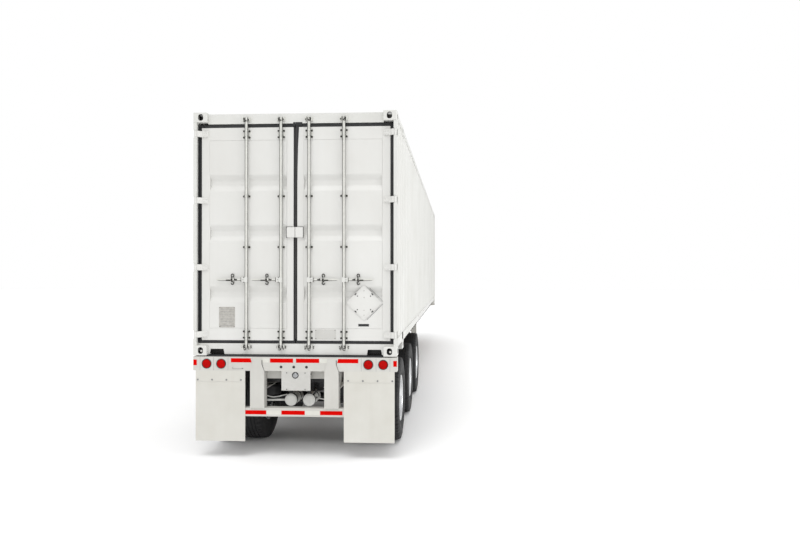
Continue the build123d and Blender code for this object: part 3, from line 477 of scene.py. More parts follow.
class Paint(Enum):
    """The finishes of the whole trailer, each named for the real material."""

    # Two-pack paint sprayed on pressed sheet: off-white, faintly rippled, with soft dust runs below the rails.
    BOX = Finish(
        "box_enamel", "#D0D0CD", "#C4C4BF", 0.32, 0.5, patch_mm=900.0, grain_mm=9.0, relief_mm=0.12, streak=0.35
    )
    # The same paint on the door side, wiped cleaner.
    DOOR = Finish(
        "door_enamel", "#D2D2CF", "#C9C8C4", 0.3, 0.46, patch_mm=1100.0, grain_mm=9.0, relief_mm=0.1, streak=0.2
    )
    # Chassis paint over welded plate: a little warmer and duller. The same colour makes the painted highlights on the
    # twist locks' heads.
    CHASSIS = Finish(
        "chassis_enamel", "#C4C3BE", "#B4B2AC", 0.4, 0.6, patch_mm=400.0, grain_mm=5.0, relief_mm=0.1, streak=0.3
    )
    # Hot-dip galvanised rod and forging: grey with a soft spangle.
    ZINC = Finish(
        "galvanised_steel", "#D0D0CA", "#C3C3BD", 0.38, 0.52, metallic=0.1, patch_mm=45.0, grain_mm=4.0, relief_mm=0.06
    )
    # Weathered zinc on bolts and nuts; the same dark colour also paints shade: the bars under the guide bolts, the
    # curls at the keepers and the lines round the handle hubs.
    DARK_ZINC = Finish(
        "weathered_zinc_and_painted_shade", "#3A3935", "#262522", 0.45, 0.65, metallic=0.6, patch_mm=30.0, grain_mm=3.0
    )
    # EPDM rubber on the seals, grommets and dark hoses; the same colour on the bolster's pad is painted shade of the
    # gap under the sill.
    GASKET = Finish("epdm_door_gasket_and_painted_shade", "#1E1F21", "#151617", 0.55, 0.75, patch_mm=120.0, grain_mm=3.0, relief_mm=0.15)
    # Grey rubber, lighter than the seals, down the middle of the right leaf's seal lip.
    GREY_RUBBER = Finish(
        "grey_door_rubber", "#4A4846", "#383634", 0.6, 0.8, patch_mm=120.0, grain_mm=3.0, relief_mm=0.15
    )
    FLAP = Finish(
        "moulded_white_flap", "#CAC9C3", "#BEBCB4", 0.45, 0.65, patch_mm=350.0, grain_mm=4.0, relief_mm=0.2,
        streak=0.35
    )
    BELLOWS = Finish(
        "rubberised_cord_bellows", "#202023", "#111113", 0.5, 0.7, patch_mm=80.0, grain_mm=3.0, relief_mm=0.2
    )
    TYRE = Finish("carbon_black_tyre", "#212122", "#141415", 0.62, 0.82, patch_mm=160.0, grain_mm=4.0, relief_mm=0.25)
    RIM = Finish(
        "polished_alloy_rim", "#DADBDC", "#BFC0C2", 0.16, 0.3, metallic=0.9, patch_mm=200.0, grain_mm=3.0,
        relief_mm=0.03
    )
    # Cast hub enamel; the same grey also paints shade: the placard flange's shadow gap and the lines round a small
    # bracket by the left lamps.
    HUB = Finish(
        "cast_hub_enamel_and_painted_shade", "#8D8E8E", "#6B6B6A", 0.4, 0.6, metallic=0.3, patch_mm=60.0, grain_mm=4.0, relief_mm=0.2
    )
    # Glossy white enamel on the air reservoirs and the light hoses, lighter than the box paint: painted light for parts
    # that sit in the chassis's shade.
    TANK = Finish("white_tank_enamel_painted_light", "#F2F2EE", "#E6E6E1", 0.3, 0.45, patch_mm=200.0, grain_mm=5.0, relief_mm=0.06)
    # Bitumen wax over the floor members: dull and nearly black, dark partly as painted shade under the chassis. The
    # same colour on the boxes behind the sill's pockets is painted shade.
    WAX = Finish("bitumen_underbody_wax_and_painted_shade", "#2A2826", "#1C1B1A", 0.55, 0.8, patch_mm=260.0, grain_mm=5.0, relief_mm=0.3)
    # Black chassis enamel on the running gear and straps, dark partly as painted shade under the chassis; the same
    # colour also paints the lock box's outline, the lamp holes and the strap shadow gaps.
    BLACK = Finish(
        "black_chassis_enamel_and_painted_shade", "#1F1F20", "#141414", 0.4, 0.62, patch_mm=150.0, grain_mm=5.0, relief_mm=0.15
    )
    LENS = Finish(
        "red_acrylic_lens", "#B80301", "#8C0201", 0.35, 0.45, ior=1.15, patch_mm=60.0, grain_mm=8.0, relief_mm=0.3
    )
    AMBER = Finish(
        "amber_acrylic_lens", "#8A4A1C", "#6A3612", 0.15, 0.25, ior=1.49, patch_mm=40.0, grain_mm=6.0, coat=0.6
    )
    TAPE_RED = Finish(
        "red_retroreflective_film", "#CC0501", "#C00401", 0.5, 0.6, ior=1.1, patch_mm=90.0, grain_mm=6.0,
        relief_mm=0.08
    )
    TAPE_WHITE = Finish(
        "white_retroreflective_film", "#CDCCC4", "#C4C3BB", 0.25, 0.38, patch_mm=90.0, grain_mm=6.0, relief_mm=0.08,
        coat=0.3
    )
    CHROME = Finish(
        "chromed_lamp_shell", "#A9AAAB", "#858789", 0.12, 0.2, metallic=1.0, patch_mm=60.0, grain_mm=5.0,
        relief_mm=0.02
    )
    ALLOY_PLATE = Finish(
        "etched_alloy_plate", "#B4B1AC", "#98968F", 0.35, 0.5, metallic=0.3, patch_mm=25.0, grain_mm=3.0
    )
    WHITE_PLATE = Finish("white_lacquered_plate", "#BCBBB7", "#B2B1AC", 0.25, 0.35, patch_mm=120.0, grain_mm=5.0)
    FLOOR = Finish("oiled_bamboo_floor", "#8A6238", "#6B4726", 0.45, 0.65, patch_mm=300.0, grain_mm=3.0, relief_mm=0.2)
    BARE = Finish("machined_kingpin_steel", "#9B9B98", "#77776F", 0.25, 0.4, metallic=1.0, patch_mm=30.0, grain_mm=2.0)

    def material(self) -> bpy.types.Material:
        """The Blender material of this finish."""
        return self.value.build()


def piece(
    name: str,
    surface: Surface,
    paint: Paint,
    body: str,
    smooth: float = 35.0,
    painted_shade: Callable[[Array], Array] | None = None,
) -> bpy.types.Object:
    """Makes one finished piece from a surface and hangs it on its body.

    Args:
        name: The piece's name.
        surface: Its points and faces, in the trailer's frame.
        paint: Its finish.
        body: The body that carries it.
        smooth: Faces that meet at less than this many degrees look rounded.
        painted_shade: Share of painted shade at each point, from 0 to 1, worked out from the points.

    Returns:
        The new object.
    """
    mesh = bpy.data.meshes.new(name)
    points = np.vstack(surface.points)
    mesh.from_pydata(points.tolist(), [], surface.faces)
    # Each point's share of painted shade, stored for the finish to mix in.
    if painted_shade is not None:
        shares = mesh.attributes.new("painted_shade", "FLOAT", "POINT")
        shares.data.foreach_set("value", np.clip(painted_shade(points), 0.0, 1.0).astype(np.float32))
    mesh.update()
    mesh.validate()
    made = bpy.data.objects.new(name, mesh)
    bpy.context.scene.collection.objects.link(made)
    mesh.materials.append(paint.material())
    mesh.shade_smooth()
    mesh.set_sharp_from_angle(angle=math.radians(smooth))
    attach(made, body)
    LOG.info("%s: %d faces", name, len(mesh.polygons))
    return made


# ---------------------------------------------------------------- shared outlines
def rounded_rectangle(centre: Sequence[float], half: Sequence[float], radius: float, steps: int = 4) -> Array:
    """A rectangle whose corners are arcs, as one closed outline.

    Each corner's points are its arc centre plus the radius at equal angles over a quarter turn.

    Args:
        centre: Middle of the rectangle on its plane.
        half: Half its width and half its height.
        radius: Corner radius.
        steps: Steps to each corner.

    Returns:
        Array of shape (4 * (steps + 1), 2).
    """
    quarter = np.arange(4)[:, None]
    angle = quarter * np.pi / 2 + np.linspace(0.0, np.pi / 2, steps + 1)[None, :]
    sign_x = np.array([1, -1, -1, 1])[:, None]
    sign_y = np.array([1, 1, -1, -1])[:, None]
    x = centre[0] + sign_x * (half[0] - radius) + radius * np.cos(angle)
    y = centre[1] + sign_y * (half[1] - radius) + radius * np.sin(angle)
    return np.stack([x, y], axis=-1).reshape(-1, 2)


def square_ring(low: Sequence[float], high: Sequence[float], steps: int) -> Array:
    """A rectangle's outline with 4 * (steps + 1) points, matched one for one to a rounded rectangle's.

    Args:
        low: Lowest corner on the plane.
        high: Highest corner on the plane.
        steps: Steps to each corner of the rounded outline that it is joined to.

    Returns:
        Array of shape (4 * (steps + 1), 2), anticlockwise from the right side's middle.
    """
    t = np.linspace(0.0, 1.0, steps + 1)
    middle = [(low[0] + high[0]) / 2, (low[1] + high[1]) / 2]
    corners = [(high[0], high[1]), (low[0], high[1]), (low[0], low[1]), (high[0], low[1])]
    mids = [(high[0], middle[1]), (middle[0], high[1]), (low[0], middle[1]), (middle[0], low[1])]
    rows = []
    for n in range(4):
        start, corner, end = np.array(mids[n]), np.array(corners[n]), np.array(mids[(n + 1) % 4])
        before = start + (corner - start) * np.clip(t * 2, 0, 1)[:, None]
        after = (end - corner) * np.clip(t * 2 - 1, 0, 1)[:, None]
        rows.append(before + after * 0.98)
    return np.vstack(rows)


def folded_line(
    start: float, end: float, flat: float, inner: float, slope: float, depth: float, round_off: float
) -> Array:
    """The line of a folded sheet with rounded folds.

    Each fold is a quadratic curve between points that lie round_off before and after its corner, with the
    corner as its control point.

    Args:
        start: Where the sheet begins along the wall.
        end: Where it ends.
        flat: Width of each outer flat.
        inner: Width of each inner flat.
        slope: Run of each slope.
        depth: How far the inner flats lie behind the outer ones.
        round_off: Length that each fold takes on both sides of its corner.

    Returns:
        Array of shape (n, 2) of distance along the wall and depth.
    """
    pitch = flat + inner + 2 * slope
    count = max(1, int((end - start - flat) // pitch))
    first = start + (end - start - count * pitch - flat) / 2 + flat
    begin = first + pitch * np.arange(count)[:, None]
    offsets = np.array([0.0, slope, slope + inner, 2 * slope + inner])[None, :]
    depths = np.broadcast_to(np.array([0.0, depth, depth, 0.0]), (count, 4))
    corners = np.stack([begin + offsets, depths], axis=-1).reshape(-1, 2)
    whole = np.vstack([[start, 0.0], corners, [end, 0.0]])
    ahead = whole[1:] - whole[:-1]
    ahead /= np.linalg.norm(ahead, axis=1, keepdims=True)
    before = corners - ahead[:-1] * round_off
    after = corners + ahead[1:] * round_off
    t = np.linspace(0.0, 1.0, 5)[None, :, None]
    arcs = (1 - t) ** 2 * before[:, None] + 2 * t * (1 - t) * corners[:, None] + t**2 * after[:, None]
    return np.vstack([[start, 0.0], arcs.reshape(-1, 2), [end, 0.0]])


def casting_steps(places: Array, half: float) -> Array:
    """1 where a place along the trailer is beside a casting, 0 elsewhere, with a 1 mm change between."""
    centres = np.array([-6.769, -6.007, 6.007, 6.769])
    near = np.abs(places[:, None] - centres[None, :]).min(axis=1)
    return np.clip((half + 0.0005 - near) / 0.001, 0.0, 1.0)


def with_casting_edges(line: Array, half: float) -> Array:
    """Adds points to a folded line just outside and inside each casting's edges, on the line itself."""
    centres = np.array([-6.769, -6.007, 6.007, 6.769])
    edges = np.concatenate([centres + s * (half + d) for s in (-1, 1) for d in (-0.0006, 0.0006)])
    edges = edges[(edges > line[0, 0] + 0.001) & (edges < line[-1, 0] - 0.001)]
    extra = np.stack([edges, np.interp(edges, line[:, 0], line[:, 1])], axis=-1)
    joined = np.vstack([line, extra])
    return joined[np.argsort(joined[:, 0], kind="stable")]


# ---------------------------------------------------------------- container body
@dataclass
class FoldedWalls:
    """The corrugated side walls and front wall, with bends as round as pressed sheet has."""

    sheet: float = 0.002
    depth: float = 0.036
    front_depth: float = 0.045
    set_back: float = 0.008
    low: float = BASE + 0.204
    high: float = TOP - 0.072
    rear_end: float = -6.740
    front_end: float = 6.738
    front_half: float = 1.099
    casting_half: float = 0.089
    casting_drop: float = 0.047

    def sheet_from(self, line: Array, tops: Array, place: Callable[[Array, Array, Array], Array]) -> Surface:
        """A thin sheet that stands on a line.

        Its loop is the line's outer face followed by its inner face the other way, and the loop is carried
        from the bottom to the top of the wall.

        Args:
            line: Distance along and depth, of shape (n, 2).
            tops: Height of the top edge at each point.
            place: Turns distance, depth and height arrays into points.

        Returns:
            The closed sheet.
        """
        along = np.concatenate([line[:, 0], line[::-1, 0]])
        depth = np.concatenate([line[:, 1], line[::-1, 1] + self.sheet])
        high = np.concatenate([tops, tops[::-1]])
        low = np.full(len(along), self.low)
        points = np.vstack([place(along, depth, low), place(along, depth, high)])
        count = len(along)
        faces = [tuple(row) for row in grid_faces(2, count, False, True)]
        half = count // 2
        n = np.arange(half - 1)
        caps = np.stack([n, n + 1, count - 2 - n, count - 1 - n], axis=-1)
        faces += [tuple(row) for row in caps[:, ::-1]] + [tuple(row) for row in caps + count]
        return Surface.empty().take(points, faces)

    def side(self, sign: float) -> Surface:
        """The side wall on the side whose sign is given."""
        line = folded_line(self.rear_end, self.front_end, 0.072, 0.070, 0.068, self.depth, 0.011)
        line = with_casting_edges(line, self.casting_half)
        tops = self.high - self.casting_drop * casting_steps(line[:, 0], self.casting_half)

        def place(along: Array, depth: Array, height: Array) -> Array:
            """Puts the sheet on the trailer's side."""
            return np.stack([sign * (HALF_WIDTH - self.set_back - depth), along, height], axis=-1)

        made = self.sheet_from(line, tops, place)
        return made if sign > 0 else Surface(made.points, [tuple(reversed(f)) for f in made.faces], made.count)

    def front(self) -> Surface:
        """The front wall, whose waves run across the trailer."""
        line = folded_line(-self.front_half, self.front_half, 0.072, 0.070, 0.068, self.front_depth, 0.011)
        edge = np.array([1.0565, 1.0575])
        extra = np.concatenate([edge, -edge])
        joined = np.vstack([line, np.stack([extra, np.interp(extra, line[:, 0], line[:, 1])], axis=-1)])
        joined = joined[np.argsort(joined[:, 0])]
        tops = self.high - self.casting_drop * np.clip((np.abs(joined[:, 0]) - 1.0565) / 0.001, 0, 1)

        def place(along: Array, depth: Array, height: Array) -> Array:
            """Puts the sheet across the trailer's front."""
            return np.stack([along, -REAR - 0.005 - self.set_back - depth, height], axis=-1)

        made = self.sheet_from(joined, tops, place)
        return Surface(made.points, [tuple(reversed(f)) for f in made.faces], made.count)

    def build(self) -> None:
        """Makes the three walls and puts them in place of the plain ones."""
        for name, sign in SIDES:
            wall = piece(f"{name}_wall_sheet", self.side(sign), Paint.BOX, "trailer", 60)
            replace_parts(wall, f"{name}_wall")
        wall = piece("front_wall_sheet", self.front(), Paint.BOX, "trailer", 60)
        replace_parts(wall, "front_wall")


@dataclass
class RibbedRoof:
    """The roof sheet, whose pressed troughs run across and fade out before the side rails."""

    top: float = TOP - 0.014
    sheet: float = 0.002
    trough: float = 0.020
    pitch: float = 0.556
    half: float = 1.156
    casting_in: float = 1.057
    rear_end: float = -6.713
    front_end: float = 6.793

    def height(self, x: Array, y: Array) -> Array:
        """Height of the roof's upper face.

        The trough is a raised cosine of the place along the roof, flattened at its bottom, times a soft step
        that falls to nothing 60 mm from the rails.

        Args:
            x: Places across.
            y: Places along.

        Returns:
            Heights in metres.
        """
        count = int((self.front_end - self.rear_end) // self.pitch)
        first = self.rear_end + (self.front_end - self.rear_end - count * self.pitch) / 2
        turn = (y - first) / self.pitch
        inside = (turn > 0) & (turn < count)
        wave = np.clip(0.5 - 0.95 * np.cos(2 * np.pi * turn), 0.0, 1.0)
        wave = wave * wave * (3 - 2 * wave) * inside
        fade = np.clip((self.half - 0.05 - np.abs(x)) / 0.12, 0.0, 1.0)
        fade = fade * fade * (3 - 2 * fade)
        return self.top - self.trough * wave * fade

    def build(self) -> None:
        """Makes the roof as two faces 2 mm apart, narrowed beside the castings."""
        y = np.linspace(self.rear_end, self.front_end, 420)
        line = with_casting_edges(np.stack([y, np.zeros_like(y)], axis=-1), 0.089)
        y = line[:, 0]
        half = self.half - (self.half - self.casting_in) * casting_steps(y, 0.089)
        u = np.concatenate([
            [-1.0], np.linspace(-0.96, -0.82, 6), np.linspace(-0.7, 0.7, 5), np.linspace(0.82, 0.96, 6), [1.0]
        ])
        x = half[:, None] * u[None, :]
        along = np.broadcast_to(y[:, None], x.shape)
        high = self.height(x, along)
        over = np.stack([x, along, high], axis=-1).reshape(-1, 3)
        under = over - np.array([0.0, 0.0, self.sheet])
        rows, columns = x.shape
        quads = grid_faces(rows, columns, False, False)
        size = rows * columns
        faces = [tuple(row) for row in quads[:, ::-1]] + [tuple(row) for row in quads + size]
        r = np.arange(rows - 1) * columns
        c = np.arange(columns - 1)
        last = (rows - 1) * columns
        left = np.stack([r, r + columns, r + columns + size, r + size], axis=-1)
        right = np.stack(
            [r + columns - 1, r + columns - 1 + size, r + 2 * columns - 1 + size, r + 2 * columns - 1], axis=-1
        )
        back = np.stack([c, c + size, c + 1 + size, c + 1], axis=-1)
        fore = np.stack([last + c, last + c + 1, last + c + 1 + size, last + c + size], axis=-1)
        faces += [tuple(row) for row in np.vstack([left[:, ::-1], right[:, ::-1], back[:, ::-1], fore[:, ::-1]])]
        sheet = Surface.empty().take(np.vstack([over, under]), faces).outward()
        roof = piece("roof_sheet", sheet, Paint.BOX, "trailer", 60)
        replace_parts(roof, "roof_panel")


@dataclass
class Castings:
    """The eight corner castings and eight intermediate ones, hollow, with round-ended lashing holes."""

    length: float = 0.178
    width: float = 0.162
    height: float = 0.118
    wall: float = 0.026
    edge: float = 0.006
    side_hole: tuple[float, float, float] = (0.046, 0.03175, 0.026)
    end_hole: tuple[float, float, float] = (0.03175, 0.040, 0.028)
    flat_hole: tuple[float, float, float] = (0.03175, 0.062, 0.031)

    def one(self, x: float, y: float, z: float) -> Surface:
        """One casting with its middle at a point, its holes on the outward sides.

        Args:
            x: Place across.
            y: Place along.
            z: Height.

        Returns:
            Its outer faces, its cavity and the walls of its three holes.
        """
        half = np.array([self.width, self.length, self.height]) / 2
        centre = np.array([x, y, z])
        outward = np.array([math.copysign(1, x), math.copysign(1, y), math.copysign(1, z - (BASE + TOP) / 2)])
        holes = {0: self.side_hole, 1: self.end_hole, 2: self.flat_hole}
        made = Surface.empty()
        shell = block(centre - half, centre + half, self.edge)
        kept = []
        for row in shell.faces:
            corner = np.vstack(shell.points)[list(row)]
            middle = corner.mean(axis=0) - centre
            full = [a for a in range(3) if abs(abs(middle[a]) - half[a]) < 1e-6 and len(row) == 4]
            full = [a for a in full if np.ptp(corner[:, a]) < 1e-9 and outward[a] * middle[a] > 0]
            if not full:
                kept.append(row)
        made.take(np.vstack(shell.points), kept)
        room = half - self.wall
        cavity = block(centre - room, centre + room)
        inner = []
        for row in cavity.faces:
            corner = np.vstack(cavity.points)[list(row)]
            axis = int(np.argmin(np.ptp(corner, axis=0)))
            if outward[axis] * (corner[:, axis].mean() - centre[axis]) < 0:
                inner.append(tuple(reversed(row)))
        made.take(np.vstack(cavity.points), inner)
        shift = math.copysign(CASTING_HOLE, x) - x
        for axis, (a, b, radius) in holes.items():
            u, v = [(1, 2), (0, 2), (0, 1)][axis]
            hole = rounded_rectangle((shift if axis else 0.0, 0.0), (a, b), radius, 4)
            outer = square_ring(
                (-half[u] + self.edge, -half[v] + self.edge), (half[u] - self.edge, half[v] - self.edge), 4
            )
            inner_ring = square_ring((-room[u], -room[v]), (room[u], room[v]), 4)
            rings = []
            for ring, level in ((outer, half[axis]), (hole, half[axis]), (hole, room[axis]), (inner_ring, room[axis])):
                points = np.zeros((len(ring), 3))
                points[:, u], points[:, v] = ring[:, 0], ring[:, 1]
                points[:, axis] = outward[axis] * level
                rings.append(points + centre)
            faces = [tuple(row) for row in grid_faces(4, len(hole), False, True)]
            turn = outward[axis] * (-1 if axis == 1 else 1)
            if turn < 0:
                faces = [tuple(reversed(row)) for row in faces]
            made.take(np.vstack(rings), faces)
        return made

    def inside(self, points: Array) -> Array:
        """Painted shade in the cavities: 1 at the points of a cavity and 0 at those of an outer face."""
        x = np.abs(np.abs(points[:, 0]) - (HALF_WIDTH - self.width / 2))
        y = np.abs(np.abs(points[:, 1])[:, None] - np.array([6.769, 6.007])[None, :]).min(axis=1)
        z = np.abs(points[:, 2] - (BASE + TOP) / 2)
        z = np.abs(z - (TOP - BASE - self.height) / 2)
        reach = np.stack([self.width / 2 - x, self.length / 2 - y, self.height / 2 - z], axis=-1).min(axis=1)
        return (reach > 0.015).astype(float)

    def build(self) -> None:
        """Makes all sixteen castings as one piece in place of the plain ones."""
        made = Surface.empty()
        for _, sign in SIDES:
            for y in (-6.769, -6.007, 6.007, 6.769):
                for z in (BASE + self.height / 2, TOP - self.height / 2):
                    made.join(self.one(sign * (HALF_WIDTH - self.width / 2), y, z))
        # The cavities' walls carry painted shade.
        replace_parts(piece("castings", made, Paint.BOX, "trailer", 30, self.inside), "corner_castings")


# ---------------------------------------------------------------- doors
@dataclass
class DoorLeaf:
    """One door leaf: frame members, a panel with three rounded grooves, and cranked hinge blades."""

    name: str
    sign: float
    inner: float = 0.022
    outer: float = 1.137
    low: float = BASE + 0.178
    high: float = TOP - 0.175
    depth: float = 0.050
    hinge_member: float = 0.099
    centre_member: float = 0.082
    head: float = 0.154
    foot: float = 0.146
    groove_depth: float = 0.036
    groove_slope: float = 0.068
    groove_flat: float = 0.030
    sheet: float = 0.003
    levels: tuple[float, ...] = (0.726, 1.458, 2.057)
    hinges: tuple[float, ...] = (0.249, 1.050, 1.850, 2.645)
    pin_x: float = 1.199
    pin_y: float = REAR + 0.020
    blade_half: float = 0.036
    blade_reach: float = 0.142

    def panel(self) -> Surface:
        """The pressed panel.

        Its depth down the door is a trapezium at each groove, whose corners are rounded by a quadratic curve.

        Returns:
            A closed sheet between the frame members.
        """
        low, high = self.low + self.foot, self.high - self.head
        corners, depths = [], []
        for level in self.levels:
            z = BASE + level
            run = self.groove_flat + self.groove_slope
            corners += [z - run, z - self.groove_flat, z + self.groove_flat, z + run]
            depths += [0.0, self.groove_depth, self.groove_depth, 0.0]
        whole = np.vstack([[low, 0.0], np.stack([corners, depths], axis=-1), [high, 0.0]])
        ahead = whole[1:] - whole[:-1]
        ahead /= np.linalg.norm(ahead, axis=1, keepdims=True)
        middle = whole[1:-1]
        before, after = middle - ahead[:-1] * 0.016, middle + ahead[1:] * 0.016
        t = np.linspace(0.0, 1.0, 7)[None, :, None]
        arcs = (1 - t) ** 2 * before[:, None] + 2 * t * (1 - t) * middle[:, None] + t**2 * after[:, None]
        line = np.vstack([whole[:1], arcs.reshape(-1, 2), whole[-1:]])
        loop = np.vstack([line, line[::-1] + np.array([0.0, self.sheet])])
        x0, x1 = self.inner + self.centre_member, self.outer - self.hinge_member
        rings = [np.stack([np.full(len(loop), x), LEAF_REAR + loop[:, 1], loop[:, 0]], axis=-1) for x in (x0, x1)]
        return ribbon(np.vstack(rings), True)

    def groove_slope_shade(self, points: Array) -> Array:
        """Painted shade on the lower slope of each groove, which faces upward."""
        slope_middle = self.groove_flat + self.groove_slope / 2
        below = np.abs(points[:, 2][:, None] - BASE - np.array(self.levels)[None, :] + slope_middle).min(axis=1)
        return 0.05 * np.clip(1.3 - below / (self.groove_slope / 2), 0.0, 1.0)

    def frame_members(self) -> Surface:
        """The four tubes round the panel, each with a small radius on its edges."""
        made = Surface.empty()
        y0, y1 = LEAF_REAR, LEAF_REAR + self.depth
        x0, x1 = self.inner + self.centre_member, self.outer - self.hinge_member
        edge = 0.004
        made.join(block((x1, y0, self.low), (self.outer, y1, self.high), edge))
        made.join(block((self.inner, y0, self.low), (x0, y1, self.high), edge))
        made.join(block((x0 - edge, y0 + 0.0005, self.low), (x1 + edge, y1 - 0.0005, self.low + self.foot), edge))
        made.join(block((x0 - edge, y0 + 0.0005, self.high - self.head), (x1 + edge, y1 - 0.0005, self.high), edge))
        return made

    def blades(self) -> Surface:
        """The cranked hinge blades, each a forged plate that swells to an eye round its pin."""
        angle = np.linspace(np.radians(200), np.radians(520), 25)
        eye = np.stack([self.pin_x + 0.016 * np.cos(angle), self.pin_y + 0.016 * np.sin(angle)], axis=-1)
        crank = 0.0365
        front = [
            (self.pin_x - 0.017, self.pin_y + 0.008),
            (self.pin_x - crank + 0.004, self.pin_y + 0.008),
            (self.pin_x - crank - 0.004, self.pin_y + 0.010),
            (self.outer - 0.002, LEAF_REAR),
            (self.pin_x - self.blade_reach, LEAF_REAR),
        ]
        rear = [
            (self.pin_x - self.blade_reach, LEAF_REAR - 0.007),
            (self.pin_x - self.blade_reach + 0.004, LEAF_REAR - 0.010),
            (self.pin_x - crank - 0.032, LEAF_REAR - 0.014),
            (self.pin_x - crank, self.pin_y - 0.008),
            (self.pin_x - 0.017, self.pin_y - 0.008),
        ]
        outline = np.vstack([eye, front, rear])
        made = Surface.empty()
        for level in self.hinges:
            z = BASE + level
            count = len(outline)
            edge = 0.003
            drawn = outline - (outline - outline.mean(axis=0)) * 0.02
            heights = [z - self.blade_half, z - self.blade_half + edge, z + self.blade_half - edge, z + self.blade_half]
            rings = zip((drawn, outline, outline, drawn), heights)
            made.join(capped(np.vstack([np.column_stack([ring, np.full(count, h)]) for ring, h in rings]), count))
            for along in (0.092, 0.122):
                for up in (-0.020, 0.020):
                    place = (self.pin_x - along, LEAF_REAR - 0.011, z + up)
                    made.join(turned(np.array([[0.0, 0.008], [-0.004, 0.0075], [-0.0065, 0.004]]), place, "y", 12))
        return made

    def build(self) -> None:
        """Makes the leaf's pieces, on the side whose sign is given, in place of the plain leaf."""
        turn = (lambda s: s) if self.sign > 0 else (lambda s: s.mirrored())
        body = f"{self.name}_door"
        # The panel's lower groove slopes carry a little painted shade.
        leaf = piece(f"{body}_panel", turn(self.panel()), Paint.DOOR, body, 60, self.groove_slope_shade)
        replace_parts(leaf, f"{self.name}_door_leaf")
        piece(f"{body}_members", turn(self.frame_members()), Paint.DOOR, body, 30)
        piece(f"{body}_blades", turn(self.blades()), Paint.DOOR, body, 30)


class Guide(Enum):
    """The two kinds of rod guide: tall forged bearings at the ends, narrow bolted straps between."""

    END = (0.044, 0.050, 0.026)
    MIDDLE = (0.0475, 0.016, 0.013)


